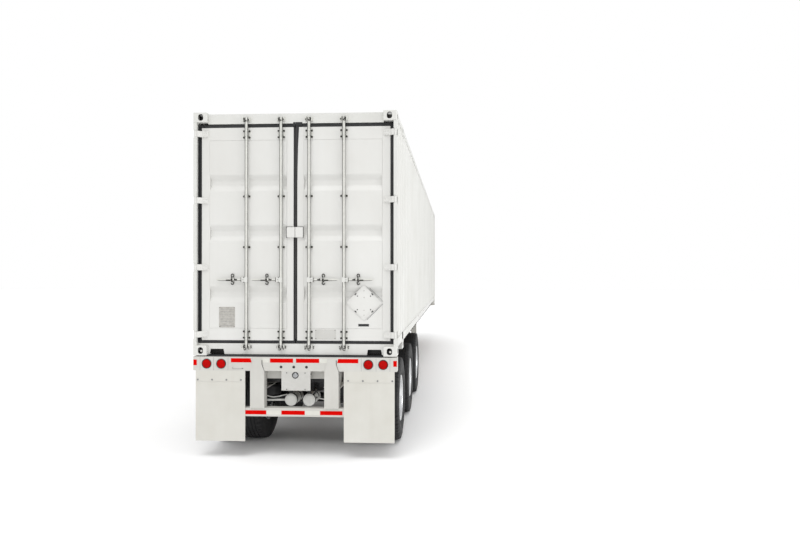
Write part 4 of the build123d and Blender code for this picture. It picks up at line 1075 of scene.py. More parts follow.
@dataclass
class LockGear:
    """The two lock rods of one door, with cams, guides, handles and handle catches."""

    name: str
    sign: float
    rods: tuple[float, ...] = (0.168, 0.585)
    radius: float = 0.0178
    low: float = BASE + 0.082
    high: float = TOP - 0.060
    shaft: tuple[float, float] = (BASE + 0.120, TOP - 0.108)
    guides: tuple[tuple[float, Guide], ...] = (
        (0.248, Guide.END),
        (1.291, Guide.MIDDLE),
        (1.896, Guide.MIDDLE),
        (2.637, Guide.END),
    )
    handle_level: float = 0.902
    handle_length: float = 0.360
    catch_place: float = 0.172

    def rod_flank_shade(self, points: Array) -> Array:
        """Painted shade on the sides of the rods and of what wraps them.

        The bright stripe's middle lies 0.26 of the rod's radius to the right of the rod's. The shade rises from nothing
        at 0.45 of the radius from it to full at 0.60, and ends outside the straps.
        """
        across = points[:, :1] - self.sign * np.array(self.rods)[None, :]
        across = across[np.arange(len(across)), np.abs(across).argmin(axis=1)]
        share = np.clip((np.abs(across - 0.26 * self.radius) - 0.45 * self.radius) / (0.15 * self.radius), 0.0, 1.0)
        return 0.66 * share * (np.abs(across) < self.radius + 0.0075)

    def handle_underside_shade(self, points: Array) -> Array:
        """Painted shade on the lower third of the handle bars, behind which their shadow lies."""
        low = (BASE + self.handle_level - points[:, 2]) / 0.012
        return 0.75 * np.clip((low - 0.35) / 0.15, 0.0, 1.0)

    def rod(self, x: float) -> Surface:
        """One round rod with its collars."""
        low, high = self.shaft
        rows = [[low, 0.012], [low + 0.004, self.radius], [high - 0.004, self.radius], [high, 0.012]]
        made = turned(np.array(rows), (x, ROD_Y, 0.0), "z", 48)
        for level in (0.187, 0.322, 2.565, 2.700):
            collar = np.array([[-0.008, 0.0182], [-0.006, 0.021], [0.006, 0.021], [0.008, 0.0182]])
            made.join(turned(collar, (x, ROD_Y, BASE + level), "z", 20))
        return made

    def cam(self, x: float, low: float) -> Surface:
        """A forged cam: a boss round the rod with a hooked nose towards the keeper.

        Args:
            x: Place of its rod.
            low: Its lower edge.

        Returns:
            The cam's surface.
        """
        made = Surface.empty()
        middle = low + 0.022
        boss = np.array([[-0.022, 0.014], [-0.019, 0.0165], [0.019, 0.0165], [0.022, 0.014]])
        made.join(turned(boss, (x, ROD_Y, middle), "z", 20))
        nose = np.array(
            [
                [x - 0.020, ROD_Y + 0.002],
                [x + 0.020, ROD_Y + 0.002],
                [x + 0.0225, ROD_Y + 0.012],
                [x + 0.017, LEAF_REAR - 0.010],
                [x + 0.004, LEAF_REAR - 0.010],
                [x - 0.002, ROD_Y + 0.013],
                [x - 0.010, LEAF_REAR - 0.012],
                [x - 0.0225, ROD_Y + 0.012],
            ]
        )
        return made.join(plate(nose, "xy", middle - 0.017, middle + 0.017, 0.002))

    def keeper_shade_curls(self, x: float, upward: float) -> Surface:
        """The two dark curls at a cam, painted shade of the keeper's throats: an S over the rod's end and a short one
        beside it.

        Args:
            x: Place of its rod.
            upward: 1 for the top cam and -1 for the bottom one.

        Returns:
            Both curls.
        """
        made = Surface.empty()
        large = np.array([
            [0.003, 1.0], [0.020, 0.95], [0.024, 0.45], [0.012, 0.05], [-0.001, -0.15], [-0.005, -0.60], [0.006, -0.95],
            [0.020, -0.85]
        ])
        small = np.array([[-0.018, 0.75], [-0.033, 0.60], [-0.031, 0.05], [-0.041, -0.35], [-0.037, -0.80]])
        if upward > 0:
            large, small = large + np.array([0.004, 0.0]), small[2:] + np.array([0.002, 0.3])
            middle, tall = 4.021, 0.018
        else:
            middle, tall = 1.314, 0.026
        for path, radius in ((large, 0.0046), (small, 0.0040)):
            curve = smooth_path(
                np.column_stack([x + path[:, 0], np.full(len(path), ROD_Y - 0.0215), middle + tall * path[:, 1]]), 3
            )
            made.join(pipe(curve, radius, 8))
        return made

    def guide(self, x: float, z: float, kind: Guide) -> Surface:
        """A guide: its base plate and the strap that passes round the rod.

        The strap's line is straight out from the plate, half a circle round the rod and straight back.

        Args:
            x: Place of the rod.
            z: Height of the guide.
            kind: End bearing or middle strap.

        Returns:
            The guide's surface.
        """
        half_across, half_up, strap_half = kind.value
        made = Surface.empty()
        outline = rounded_rectangle((x, z), (half_across, half_up), min(0.010, half_up * 0.6), 4)
        made.join(plate(outline, "xz", LEAF_REAR - 0.006, LEAF_REAR, 0.0015))
        angle = np.linspace(np.pi, 2 * np.pi, 15)
        inside, outside = self.radius + 0.001, self.radius + 0.006
        rows = []
        for reach in (outside, inside):
            arc = np.stack([x + reach * np.cos(angle), ROD_Y + reach * np.sin(angle)], axis=-1)
            ends = np.array([[x - reach, LEAF_REAR - 0.005], [x + reach, LEAF_REAR - 0.005]])
            rows.append(np.vstack([ends[:1], arc, ends[1:]]))
        loop = np.vstack([rows[0], rows[1][::-1]])
        made.join(self.strap(loop, z - strap_half, z + strap_half))
        return made

    def guide_bolts_and_shade(self, x: float, z: float, kind: Guide) -> Surface:
        """The two or four hexagon bolts that hold a guide, each on a washer over a dark bar of painted shade."""
        made = Surface.empty()
        washer = np.array([[0.0, 0.0125], [-0.002, 0.0125], [-0.0025, 0.0115]])
        for side in (-1, 1):
            for up in ((-0.0375, 0.0375) if kind is Guide.END else (0.0,)):
                place = (x + side * 0.0330, LEAF_REAR - 0.006, z + up)
                # A dark bar under each bolt: painted shade of the strap's foot.
                made.join(block(
                    (x + side * 0.0225, place[1] - 0.004, place[2] - 0.006),
                    (x + side * 0.043, place[1], place[2] + 0.006), 0.001
                ))
                made.join(turned(washer, (place[0], place[1] - 0.0035, place[2]), "y", 14))
                made.join(hexagon_head((place[0], place[1] - 0.0055, place[2]), "y", -1, 0.019, 0.008))
        return made

    def strap(self, loop: Array, low: float, high: float) -> Surface:
        """A closed loop on the ground plane carried from a low to a high level."""
        return ribbon(np.vstack([np.column_stack([loop, np.full(len(loop), level)]) for level in (low, high)]))

    def hub(self, x: float) -> Surface:
        """A handle's hub: the box that its bar turns in and the grip round the rod."""
        z = BASE + self.handle_level
        made = block((x + 0.0195, ROD_Y - 0.020, z - 0.026), (x + 0.0570, ROD_Y + 0.010, z + 0.027), 0.004)
        return made.join(plate(
            rounded_rectangle((x, z), (0.0195, 0.030), 0.006, 3), "xz", ROD_Y - 0.020, ROD_Y - 0.012, 0.002
        ))

    def hub_shade_marks(self, x: float) -> Surface:
        """Dark lines above, below and along the outer end of a hub's box, painted shade of its edges, and a dark mark
        at its middle.
        """
        z, near = BASE + self.handle_level, ROD_Y - 0.0225
        made = Surface.empty()
        for low, high in (
            ((0.0150, 0.0270), (0.0300, 0.0330)), ((0.0150, -0.0320), (0.0300, -0.0260)),
            ((0.0270, -0.0020), (0.0390, 0.0025))
        ):
            made.join(block((x + low[0], near, z + low[1]), (x + high[0], near + 0.0060, z + high[1]), 0.0008))
        made.join(block((x + 0.0535, near + 0.0015, z - 0.026), (x + 0.0600, near + 0.0050, z + 0.027), 0.0008))
        return made

    def handle(self, x: float) -> Surface:
        """A handle's bar: a flat bar that tapers towards its tip.

        It is a grid of stations along the bar by levels up it, on a front and a back face. Each point lies at
        its level's share of the station's half height.
        """
        z = BASE + self.handle_level
        along = np.array([
            0.030, 0.060, 0.150, self.handle_length - 0.120, self.handle_length - 0.030, self.handle_length
        ])
        half = np.array([0.012, 0.0125, 0.014, 0.015, 0.011, 0.004])
        share = np.array([-1.0, -0.55, -0.30, 1.0])
        height = z + half[:, None] * share[None, :]
        across = np.broadcast_to(x + along[:, None], height.shape)
        near = np.stack([across, np.full_like(height, ROD_Y - 0.015), height], axis=-1)
        far = near + np.array([0.0, 0.009, 0.0])
        loop = np.concatenate([near, far[:, ::-1]], axis=1)
        return capped(loop.reshape(-1, 3), loop.shape[1]).outward()

    def catch_plate(self, x: float) -> Surface:
        """The plate that a handle's catch stands on."""
        z = BASE + self.handle_level
        outline = rounded_rectangle((x + self.catch_place, z), (0.020, 0.052), 0.010, 4)
        return plate(outline, "xz", LEAF_REAR - 0.005, LEAF_REAR, 0.0015)

    def catch(self, x: float) -> Surface:
        """The catch of a handle: a knob, a bolt on each side of it and a seal ring above and below."""
        z = BASE + self.handle_level
        place = x + self.catch_place
        made = turned(
            np.array([[0.030, 0.010], [0.0, 0.0120], [-0.004, 0.0110], [-0.006, 0.006]]), (place, ROD_Y - 0.018, z),
            "y", 16
        )
        made.join(block(
            (place - 0.0055, ROD_Y - 0.0195, z - 0.028), (place + 0.0055, ROD_Y - 0.0155, z + 0.040), 0.002
        ))
        for low, high, up in ((0.014, 0.066, -0.006), (-0.066, -0.030, 0.001)):
            made.join(block(
                (place + low, ROD_Y - 0.0200, z + up - 0.0075), (place + high, ROD_Y - 0.0155, z + up + 0.0075), 0.003
            ))
        made.join(block((place - 0.040, ROD_Y - 0.0205, z - 0.001), (place - 0.031, ROD_Y - 0.0155, z + 0.018), 0.003))
        for up, start, sweep in ((0.050, -60.0, 330.0), (-0.040, 60.0, 290.0)):
            turn = np.radians(start + np.linspace(0.0, sweep, 25))
            ring = np.stack(
                [place + 0.016 * np.cos(turn), np.full(25, LEAF_REAR - 0.012), z + up + 0.017 * np.sin(turn)], axis=-1
            )
            made.join(pipe(ring, 0.0050, 8))
        return made

    def build(self) -> None:
        """Makes the lock gear of one door in place of its plain solid."""
        turn = (lambda s: s) if self.sign > 0 else (lambda s: s.mirrored())
        body = f"{self.name}_door"
        rods, fittings, bolts, handles, catches, hubs = (Surface.empty() for _ in range(6))
        for x in self.rods:
            rods.join(self.rod(x))
            fittings.join(self.cam(x, self.low)).join(self.cam(x, self.high - 0.044))
            for level, kind in self.guides:
                fittings.join(self.guide(x, BASE + level, kind))
                bolts.join(self.guide_bolts_and_shade(x, BASE + level, kind))
            # Dark curls at each cam: painted shade of the keepers' throats.
            bolts.join(self.keeper_shade_curls(x, 1.0)).join(self.keeper_shade_curls(x, -1.0))
            hubs.join(self.hub(x)).join(self.catch_plate(x))
            handles.join(self.handle(x))
            # The dark lines round each hub's box are painted shade.
            catches.join(self.catch(x)).join(self.hub_shade_marks(x))
        # The rods and their fittings carry painted shade down their sides.
        made = piece(f"{body}_rods", turn(rods), Paint.ZINC, body, 40, self.rod_flank_shade)
        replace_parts(made, f"{self.name}_lock_gear")
        piece(f"{body}_rod_fittings", turn(fittings), Paint.ZINC, body, 30, self.rod_flank_shade)
        piece(f"{body}_handle_hubs", turn(hubs), Paint.BOX, body, 30)
        # The handle bars carry painted shade along their lower edge.
        piece(f"{body}_handles", turn(handles), Paint.ZINC, body, 30, self.handle_underside_shade)
        piece(f"{body}_guide_bolts_and_shade", turn(bolts), Paint.DARK_ZINC, body, 30)
        piece(f"{body}_handle_catches_and_hub_shade", turn(catches), Paint.DARK_ZINC, body, 40)


@dataclass
class DoorDress:
    """Blank plates, the seal box, the placard holder and rivets that sit on one door leaf."""

    name: str
    sign: float
    proud: float = 0.002
    placard: tuple[float, float] = (0.823, BASE + 0.629)

    def box_half(self) -> Surface:
        """This leaf's half of the lock box at the middle seam."""
        x0, x1 = (0.0025, 0.097) if self.sign > 0 else (-0.100, -0.0025)
        return block((x0, LEAF_REAR - 0.024, BASE + 1.404), (x1, LEAF_REAR - 0.001, BASE + 1.528), 0.004)

    def box_shade_outline(self) -> Surface:
        """Dark strips at the outer end of the lock box and along its top, painted shade of its edges."""
        x0, x1 = (0.090, 0.101) if self.sign > 0 else (-0.109, -0.090)
        made = block((x0, LEAF_REAR - 0.012, BASE + 1.402), (x1, LEAF_REAR - 0.001, BASE + 1.530), 0.001)
        return made.join(block(*self.bar(x0 if self.sign < 0 else x1, BASE + 1.524, BASE + 1.534), 0.001))

    def bar(self, end: float, low: float, high: float) -> tuple[tuple[float, float, float], tuple[float, float, float]]:
        """The two corners of the top strip of painted shade, between the middle seam and an outer end."""
        x0, x1 = sorted((self.sign * 0.030, end))
        return (x0, LEAF_REAR - 0.012, low), (x1, LEAF_REAR - 0.001, high)

    def blank(self, low: Sequence[float], high: Sequence[float], radius: float) -> Surface:
        """A thin blank plate with rounded corners between two corners of the leaf's face."""
        centre = ((low[0] + high[0]) / 2, (low[1] + high[1]) / 2)
        half = ((high[0] - low[0]) / 2, (high[1] - low[1]) / 2)
        outline = rounded_rectangle(centre, half, radius, 3)
        return plate(outline, "xz", LEAF_REAR - self.proud, LEAF_REAR + 0.0002, 0.0005)

    def rivets(self, low: Sequence[float], high: Sequence[float], inset: float) -> Surface:
        """Four domed rivets at a plate's corners."""
        made = Surface.empty()
        dome = np.array([[0.0, 0.005], [-0.0015, 0.0045], [-0.0026, 0.0025], [-0.003, 0.0005]])
        for x in (low[0] + inset, high[0] - inset):
            for z in (low[1] + inset, high[1] - inset):
                made.join(turned(dome, (x, LEAF_REAR - self.proud, z), "y", 10))
        return made

    def diamond(self, size: float) -> Array:
        """The outline of a square on its corner round the placard's centre, with each tip cut off."""
        ways = np.array([[1.0, 0.0], [0.0, 1.0], [-1.0, 0.0], [0.0, -1.0]])
        centre, cut, tips = np.array(self.placard), 0.010, []
        for n in range(4):
            way, side = ways[n], ways[(n + 1) % 4]
            tips += [centre + way * (size - cut) - side * cut, centre + way * (size - cut) + side * cut]
        return np.array(tips)

    def diamond_rim(self, reach: float, wide: float, near: float, far: float) -> Surface:
        """A raised rim round the placard's outline.

        Args:
            reach: Distance from the centre to the outer tips.
            wide: How much less the inner tips reach.
            near: Place of its rear face.
            far: Place of its front face.

        Returns:
            The closed rim.
        """
        outer, inner = self.diamond(reach), self.diamond(reach - wide)
        rings = []
        for ring, level in ((outer, far), (outer, near), (inner, near), (inner, far)):
            rings.append(np.column_stack([ring[:, 0], np.full(len(ring), level), ring[:, 1]]))
        return Surface.empty().take(np.vstack(rings), grid_faces(4, len(outer), True, True))

    def placard_clips(self) -> Surface:
        """The four dark clips on the placard's sides and the rivets inside them."""
        made = Surface.empty()
        x, z = self.placard
        dome = np.array([[0.0, 0.007], [-0.002, 0.006], [-0.003, 0.003]])
        for across in (-1, 1):
            for up in (-1, 1):
                spot = np.array([x + across * 0.100, z + up * 0.103])
                along, over = np.array([1.0, -across * up]) / np.sqrt(2), np.array([across, up]) / np.sqrt(2)
                corners = [spot + a * 0.013 * along + b * 0.006 * over for a, b in ((-1, -1), (1, -1), (1, 1), (-1, 1))]
                made.join(plate(np.array(corners), "xz", LEAF_REAR - 0.0095, LEAF_REAR - 0.007, 0.0))
                made.join(turned(dome, (x + across * 0.078, LEAF_REAR - 0.0045, z + up * 0.080), "y", 10))
        return made

    def placard_flange_shadow(self) -> Surface:
        """The shadow gap of the flange that stands off the placard's two right-hand sides."""
        made = Surface.empty()
        x, z = self.placard
        for start, end in (((0.067, 0.176), (0.226, 0.017)), ((0.226, -0.009), (0.036, -0.199))):
            a, b = np.array([x + start[0], z + start[1]]), np.array([x + end[0], z + end[1]])
            side = (b - a)[::-1] * np.array([1.0, -1.0]) / np.linalg.norm(b - a) * 0.0022
            made.join(plate(
                np.array([a - side, a + side, b + side, b - side])[::-1], "xz", LEAF_REAR - 0.0040, LEAF_REAR - 0.0005,
                0.0
            ))
        return made

    def placard_rivets(self) -> Surface:
        """The four small rivets on the placard's upright line."""
        made = Surface.empty()
        for up in (0.143, 0.063, -0.088, -0.146):
            made.join(turned(
                np.array([[0.0, 0.0065], [-0.0015, 0.006], [-0.002, 0.003]]),
                (self.placard[0], LEAF_REAR - 0.0045, self.placard[1] + up), "y", 10
            ))
        return made

    def gasket_head(self) -> Surface:
        """The overlap of the middle seal with the top one, and the lighter bead down the middle seal."""
        face = LEAF_REAR - 0.0035
        if self.sign < 0:
            return block((-0.026, face, 3.955), (-0.0015, LEAF_REAR + 0.009, 3.998), 0.002)
        made = block((0.0015, face, 3.955), (0.084, LEAF_REAR + 0.009, 3.998), 0.002)
        return made.join(plate(
            np.array([[0.004, 3.30], [0.0225, 3.30], [0.032, 3.713], [0.045, 3.962], [0.004, 3.962]]), "xz", face,
            LEAF_REAR + 0.009, 0.001
        ))

    def gasket_bead(self) -> Surface:
        """The lighter middle of the right leaf's seal lip, which shows as a grey line between two black ones."""
        return block((0.002, LEAF_REAR - 0.0045, BASE + 0.200), (0.011, LEAF_REAR + 0.009, TOP - 0.190), 0.002)

    def build(self) -> None:
        """Dresses this leaf; the two leaves carry different plates."""
        body = f"{self.name}_door"
        piece(f"{body}_gasket_head", self.gasket_head(), Paint.GASKET, body, 30)
        if self.sign > 0:
            piece(f"{body}_gasket_bead", self.gasket_bead(), Paint.GREY_RUBBER, body, 30)
        piece(f"{body}_seal_box", self.box_half(), Paint.DOOR, body, 30)
        # Dark strips round the lock box: painted shade of its edges.
        piece(f"{body}_seal_box_shade_outline", self.box_shade_outline(), Paint.BLACK, body, 30)
        if self.sign < 0:
            low, high = (-0.924, 1.550), (-0.730, 1.796)
            piece(f"{body}_data_plate", self.blank(low, high, 0.012), Paint.ALLOY_PLATE, body, 30)
            piece(f"{body}_data_rivets", self.rivets(low, high, 0.010), Paint.DARK_ZINC, body, 40)
            lines = Surface.empty()
            for z in (1.573, 1.618, 1.650, 1.700, 1.735, 1.765):
                lines.join(block(
                    (low[0] + 0.014, LEAF_REAR - 0.0024, z), (high[0] - 0.014, LEAF_REAR - 0.0015, z + 0.003), 0.0
                ))
            piece(f"{body}_data_rules", lines, Paint.HUB, body, 30)
            return
        low, high = (0.236, BASE + 0.193), (0.489, BASE + 0.312)
        piece(f"{body}_notice_plate", self.blank(low, high, 0.004), Paint.WHITE_PLATE, body, 30)
        piece(f"{body}_notice_rivets", self.rivets(low, high, 0.012), Paint.DARK_ZINC, body, 40)
        strip_low, strip_high = (0.755, BASE + 0.350), (0.882, BASE + 0.379)
        piece(f"{body}_dark_strip", self.blank(strip_low, strip_high, 0.003), Paint.BLACK, body, 30)
        back = plate(self.diamond(0.214), "xz", LEAF_REAR - 0.0045, LEAF_REAR - 0.0030, 0.0004)
        piece(f"{body}_placard_back", back, Paint.DOOR, body, 30)
        rim = self.diamond_rim(0.212, 0.012, LEAF_REAR - 0.0075, LEAF_REAR - 0.0035)
        rim.join(self.diamond_rim(0.182, 0.008, LEAF_REAR - 0.0060, LEAF_REAR - 0.0035))
        piece(f"{body}_placard_rim", rim, Paint.DOOR, body, 30)
        piece(f"{body}_placard_clips", self.placard_clips(), Paint.BLACK, body, 30)
        # The flange's shadow gap beside the placard is painted.
        piece(f"{body}_placard_flange_shadow", self.placard_flange_shadow(), Paint.HUB, body, 30)
        piece(f"{body}_placard_rivets", self.placard_rivets(), Paint.ALLOY_PLATE, body, 30)


# ---------------------------------------------------------------- rear of the chassis
@dataclass
class TapeBand:
    """Retroreflective film on the bolster and the guard bar, with slanted joints between red and white."""

    thick: float = 0.0008
    slant: float = 0.012

    def strip(self, x0: float, x1: float, low: float, high: float, face: float, lean: tuple[float, float]) -> Surface:
        """One piece of film on a face that looks rearward.

        Args:
            x0: Left end.
            x1: Right end.
            low: Lower edge.
            high: Upper edge.
            face: Place of the face along the trailer.
            lean: How far the left and right ends' tops lie to the right of their feet.

        Returns:
            The film.
        """
        outline = np.array([[x0, low], [x1, low], [x1 + lean[1], high], [x0 + lean[0], high]])
        return plate(outline, "xz", face - self.thick, face + 0.0002, 0.0)

    def build(self) -> None:
        """Lays the bolster's film and the guard bar's film."""
        red, white = Surface.empty(), Surface.empty()
        low, high = 1.140, 1.189
        for x0, x1 in ((-0.290, -0.014), (0.020, 0.297)):
            red.join(self.strip(x0, x1, low, high, BOLSTER_REAR, (0.0, 0.0)))
        for _, sign in SIDES:
            x0, x1 = sorted((sign * 0.512, sign * 0.762))
            lean = (sign * self.slant, 0.0) if sign > 0 else (0.0, sign * self.slant)
            red.join(self.strip(x0, x1, low, high, BOLSTER_REAR, lean))
            y0, y1 = sorted((sign * 0.306, sign * 0.500))
            white.join(self.strip(y0, y1, low, high, BOLSTER_REAR, (0.0, 0.0)))
            x0, x1 = sorted((sign * 1.175, sign * 1.217))
            red.join(self.strip(x0, x1, 1.102, 1.170, BOLSTER_REAR, (0.0, 0.0)))
        bar = BOLSTER_REAR + 0.009
        spans = (
            ("r", -0.616, -0.338), ("w", -0.335, -0.159), ("r", -0.156, 0.124), ("w", 0.127, 0.304),
            ("r", 0.307, 0.573)
        )
        for tint, x0, x1 in spans:
            (red if tint == "r" else white).join(self.strip(x0, x1, 0.524, 0.572, bar, (0.0, 0.0)))
        piece("red_tape", red, Paint.TAPE_RED, "trailer", 30)
        piece("white_tape", white, Paint.TAPE_WHITE, "trailer", 30)


@dataclass
class RearLamps:
    """The four round tail lamps, their rubber grommets, the number-plate lamp and the marker lamps."""

    places: tuple[float, ...] = (0.880, 1.056)
    level: float = BASE - 0.096
    radius: float = 0.051
    proud: float = 0.0075

    def lens(self, x: float) -> Surface:
        """A domed lens with two stepped rings.

        Its radius falls along the dome as the square root of what is left of its height.
        """
        rows = [[0.010, self.radius], [0.0, self.radius], [-0.003, self.radius - 0.001], [-0.0035, self.radius - 0.005]]
        rows += [[-0.0028, self.radius - 0.007], [-0.0045, self.radius - 0.010]]
        t = np.linspace(0.1, 1.0, 7)
        dome = np.stack(
            [-0.0045 - (self.proud - 0.0045) * t, (self.radius - 0.010) * np.sqrt(1.0 - 0.985 * t)], axis=-1
        )
        return turned(np.vstack([rows, dome]), (x, BOLSTER_REAR, self.level), "y", 40)

    def grommet(self, x: float) -> Surface:
        """The rubber ring round a lens, as a closed section turned about the lamp's axis."""
        r = self.radius
        section = np.array(
            [
                [0.006, r], [-0.004, r], [-0.0065, r + 0.002], [-0.0065, r + 0.005], [-0.004, r + 0.0075],
                [0.0005, r + 0.008], [0.006, r + 0.003]
            ]
        )
        return turned(section, (x, BOLSTER_REAR, self.level), "y", 40, True)

    def build(self) -> None:
        """Makes the lamps in place of the plain ones."""
        lenses, rings = Surface.empty(), Surface.empty()
        for _, sign in SIDES:
            for place in self.places:
                lenses.join(self.lens(sign * place))
                rings.join(self.grommet(sign * place))
        made = piece("tail_lamp_lenses", lenses, Paint.LENS, "trailer", 40)
        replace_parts(made, "tail_lamps")
        piece("tail_lamp_grommets", rings, Paint.GASKET, "trailer", 40)
        holes, mounts, small = Surface.empty(), Surface.empty(), Surface.empty()
        for x in (-0.152, 0.0, 0.152):
            section = np.array([[0.001, 0.013], [-0.002, 0.013], [-0.003, 0.0145], [-0.002, 0.016], [0.001, 0.0165]])
            mounts.join(turned(section, (x - 0.006, BOLSTER_REAR, 1.089), "y", 24, True))
            # Each hole is filled with a black disc: painted shade of the hole.
            holes.join(turned(np.array([[0.004, 0.013], [-0.0008, 0.013]]), (x - 0.006, BOLSTER_REAR, 1.089), "y", 24))
        piece("clearance_lamp_hole_shades", holes, Paint.BLACK, "trailer", 40)
        piece("clearance_lamp_rings", mounts, Paint.GASKET, "trailer", 40)
        shell = np.array([[0.006, 0.030], [-0.002, 0.031], [-0.0065, 0.026], [-0.0078, 0.016], [-0.0078, 0.002]])
        seat = np.array([
            [0.003, 0.028], [-0.002, 0.028], [-0.005, 0.0315], [-0.005, 0.037], [-0.002, 0.040], [0.003, 0.039]
        ])
        centre = (0.013, BOLSTER_REAR, 0.993)
        piece("plate_lamp", turned(shell, centre, "y", 32), Paint.CHROME, "trailer", 50)
        piece("plate_lamp_seat", turned(seat, centre, "y", 32, True), Paint.GASKET, "trailer", 40)
        for _, sign in SIDES:
            for y in (-2.488, -0.725):
                x = sign * (HALF_WIDTH - 0.004)
                small.join(block((x - 0.004, y - 0.050, 1.388), (x + 0.004, y + 0.050, 1.408), 0.003))
        piece("side_marker_lamps", small, Paint.AMBER, "trailer", 40)


@dataclass
class RearFittings:
    """Number plate, plate bolts, flap bolts and flap clamp bars at the back of the chassis."""

    flap_inner: float = 0.590
    flap_outer: float = 1.190
    low: float = 0.205
    thick: float = 0.009
    fold: float = 0.911

    def flap(self, sign: float) -> Surface:
        """A mud flap: a moulded sheet with a shallow wave and a thicker hem.

        Its depth is a 1.2 mm cosine across times the share of the way down, so that it stays flat at the clamp,
        and it steps 1.6 mm forward below the clamp's fold.

        Args:
            sign: Which side it hangs on.

        Returns:
            The flap's closed surface.
        """
        u = np.linspace(0.0, 1.0, 25)[None, :]
        fold = (BOLSTER_LOW - self.fold) / (BOLSTER_LOW - self.low)
        v = np.sort(np.concatenate([np.linspace(0.0, 1.0, 29), [fold - 0.0012, fold + 0.0012]]))[:, None]
        x = sign * (self.flap_inner + (self.flap_outer - self.flap_inner) * u + 0 * v)
        z = BOLSTER_LOW - (BOLSTER_LOW - self.low) * v + 0 * u
        wave = 0.0012 * (1 - np.cos(2 * np.pi * u * 1.5)) * v + 0.0016 * (z < self.fold)
        near = np.stack([x, BOLSTER_REAR + 0.0005 + wave, z], axis=-1).reshape(-1, 3)
        far = near + np.array([0.0, 0.0060, 0.0])
        rows, columns = 31, 25
        size = rows * columns
        quads = grid_faces(rows, columns, False, False)
        r, c = np.arange(rows - 1) * columns, np.arange(columns - 1)
        last = (rows - 1) * columns
        left = np.stack([r, r + columns, r + columns + size, r + size], axis=-1)
        right = np.stack(
            [r + columns - 1, r + columns - 1 + size, r + 2 * columns - 1 + size, r + 2 * columns - 1], axis=-1
        )
        top = np.stack([c, c + size, c + 1 + size, c + 1], axis=-1)
        foot = np.stack([last + c, last + c + 1, last + c + 1 + size, last + c + size], axis=-1)
        faces = np.vstack([quads[:, ::-1], quads + size, left, right, top, foot])
        if sign > 0:
            faces = faces[:, ::-1]
        return Surface.empty().take(np.vstack([near, far]), [tuple(row) for row in faces])

    def build(self) -> None:
        """Makes the flaps in place of the plain ones, their bolts and the number plate."""
        flaps, bars, bolts = Surface.empty(), Surface.empty(), Surface.empty()
        for _, sign in SIDES:
            flaps.join(self.flap(sign))
            x0, x1 = sorted((sign * (self.flap_inner + 0.02), sign * (self.flap_outer - 0.02)))
            bars.join(block(
                (x0, BOLSTER_REAR + 0.0085, BOLSTER_LOW - 0.110), (x1, BOLSTER_REAR + 0.039, BOLSTER_LOW), 0.003
            ))
            for n in range(4):
                x = sign * (self.flap_inner + 0.052 + n * 0.174)
                bolts.join(turned(
                    np.array([[0.0005, 0.011], [-0.001, 0.011], [-0.002, 0.010]]), (x, BOLSTER_REAR, 0.932), "y", 16
                ))
                bolts.join(hexagon_head((x, BOLSTER_REAR - 0.001, 0.932), "y", -1, 0.014, 0.005))
        made = piece("mud_flap_sheets", flaps, Paint.FLAP, "trailer", 40)
        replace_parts(made, "mud_flaps")
        piece("mud_flap_bars", bars, Paint.CHASSIS, "trailer", 30)
        piece("mud_flap_bolts", bolts, Paint.HUB, "trailer", 30)
        outline = rounded_rectangle((0.020, 0.923), (0.172, 0.112), 0.010, 5)
        piece(
            "number_plate", plate(outline, "xz", BOLSTER_REAR - 0.0015, BOLSTER_REAR + 0.0002, 0.0005),
            Paint.WHITE_PLATE, "trailer", 30
        )
        screws = Surface.empty()
        for x in (-0.090, 0.130):
            for z in (1.020, 0.826):
                screws.join(hexagon_head((x, BOLSTER_REAR - 0.0015, z), "y", -1, 0.012, 0.004))
        piece("number_plate_screws", screws, Paint.DARK_ZINC, "trailer", 30)


GUSSET_LINE: Array = np.array([
    [-0.3865, 1.170], [-0.3865, 1.150], [-0.3865, 1.121], [-0.3810, 1.098], [-0.3710, 1.070], [-0.3620, 1.044]
])


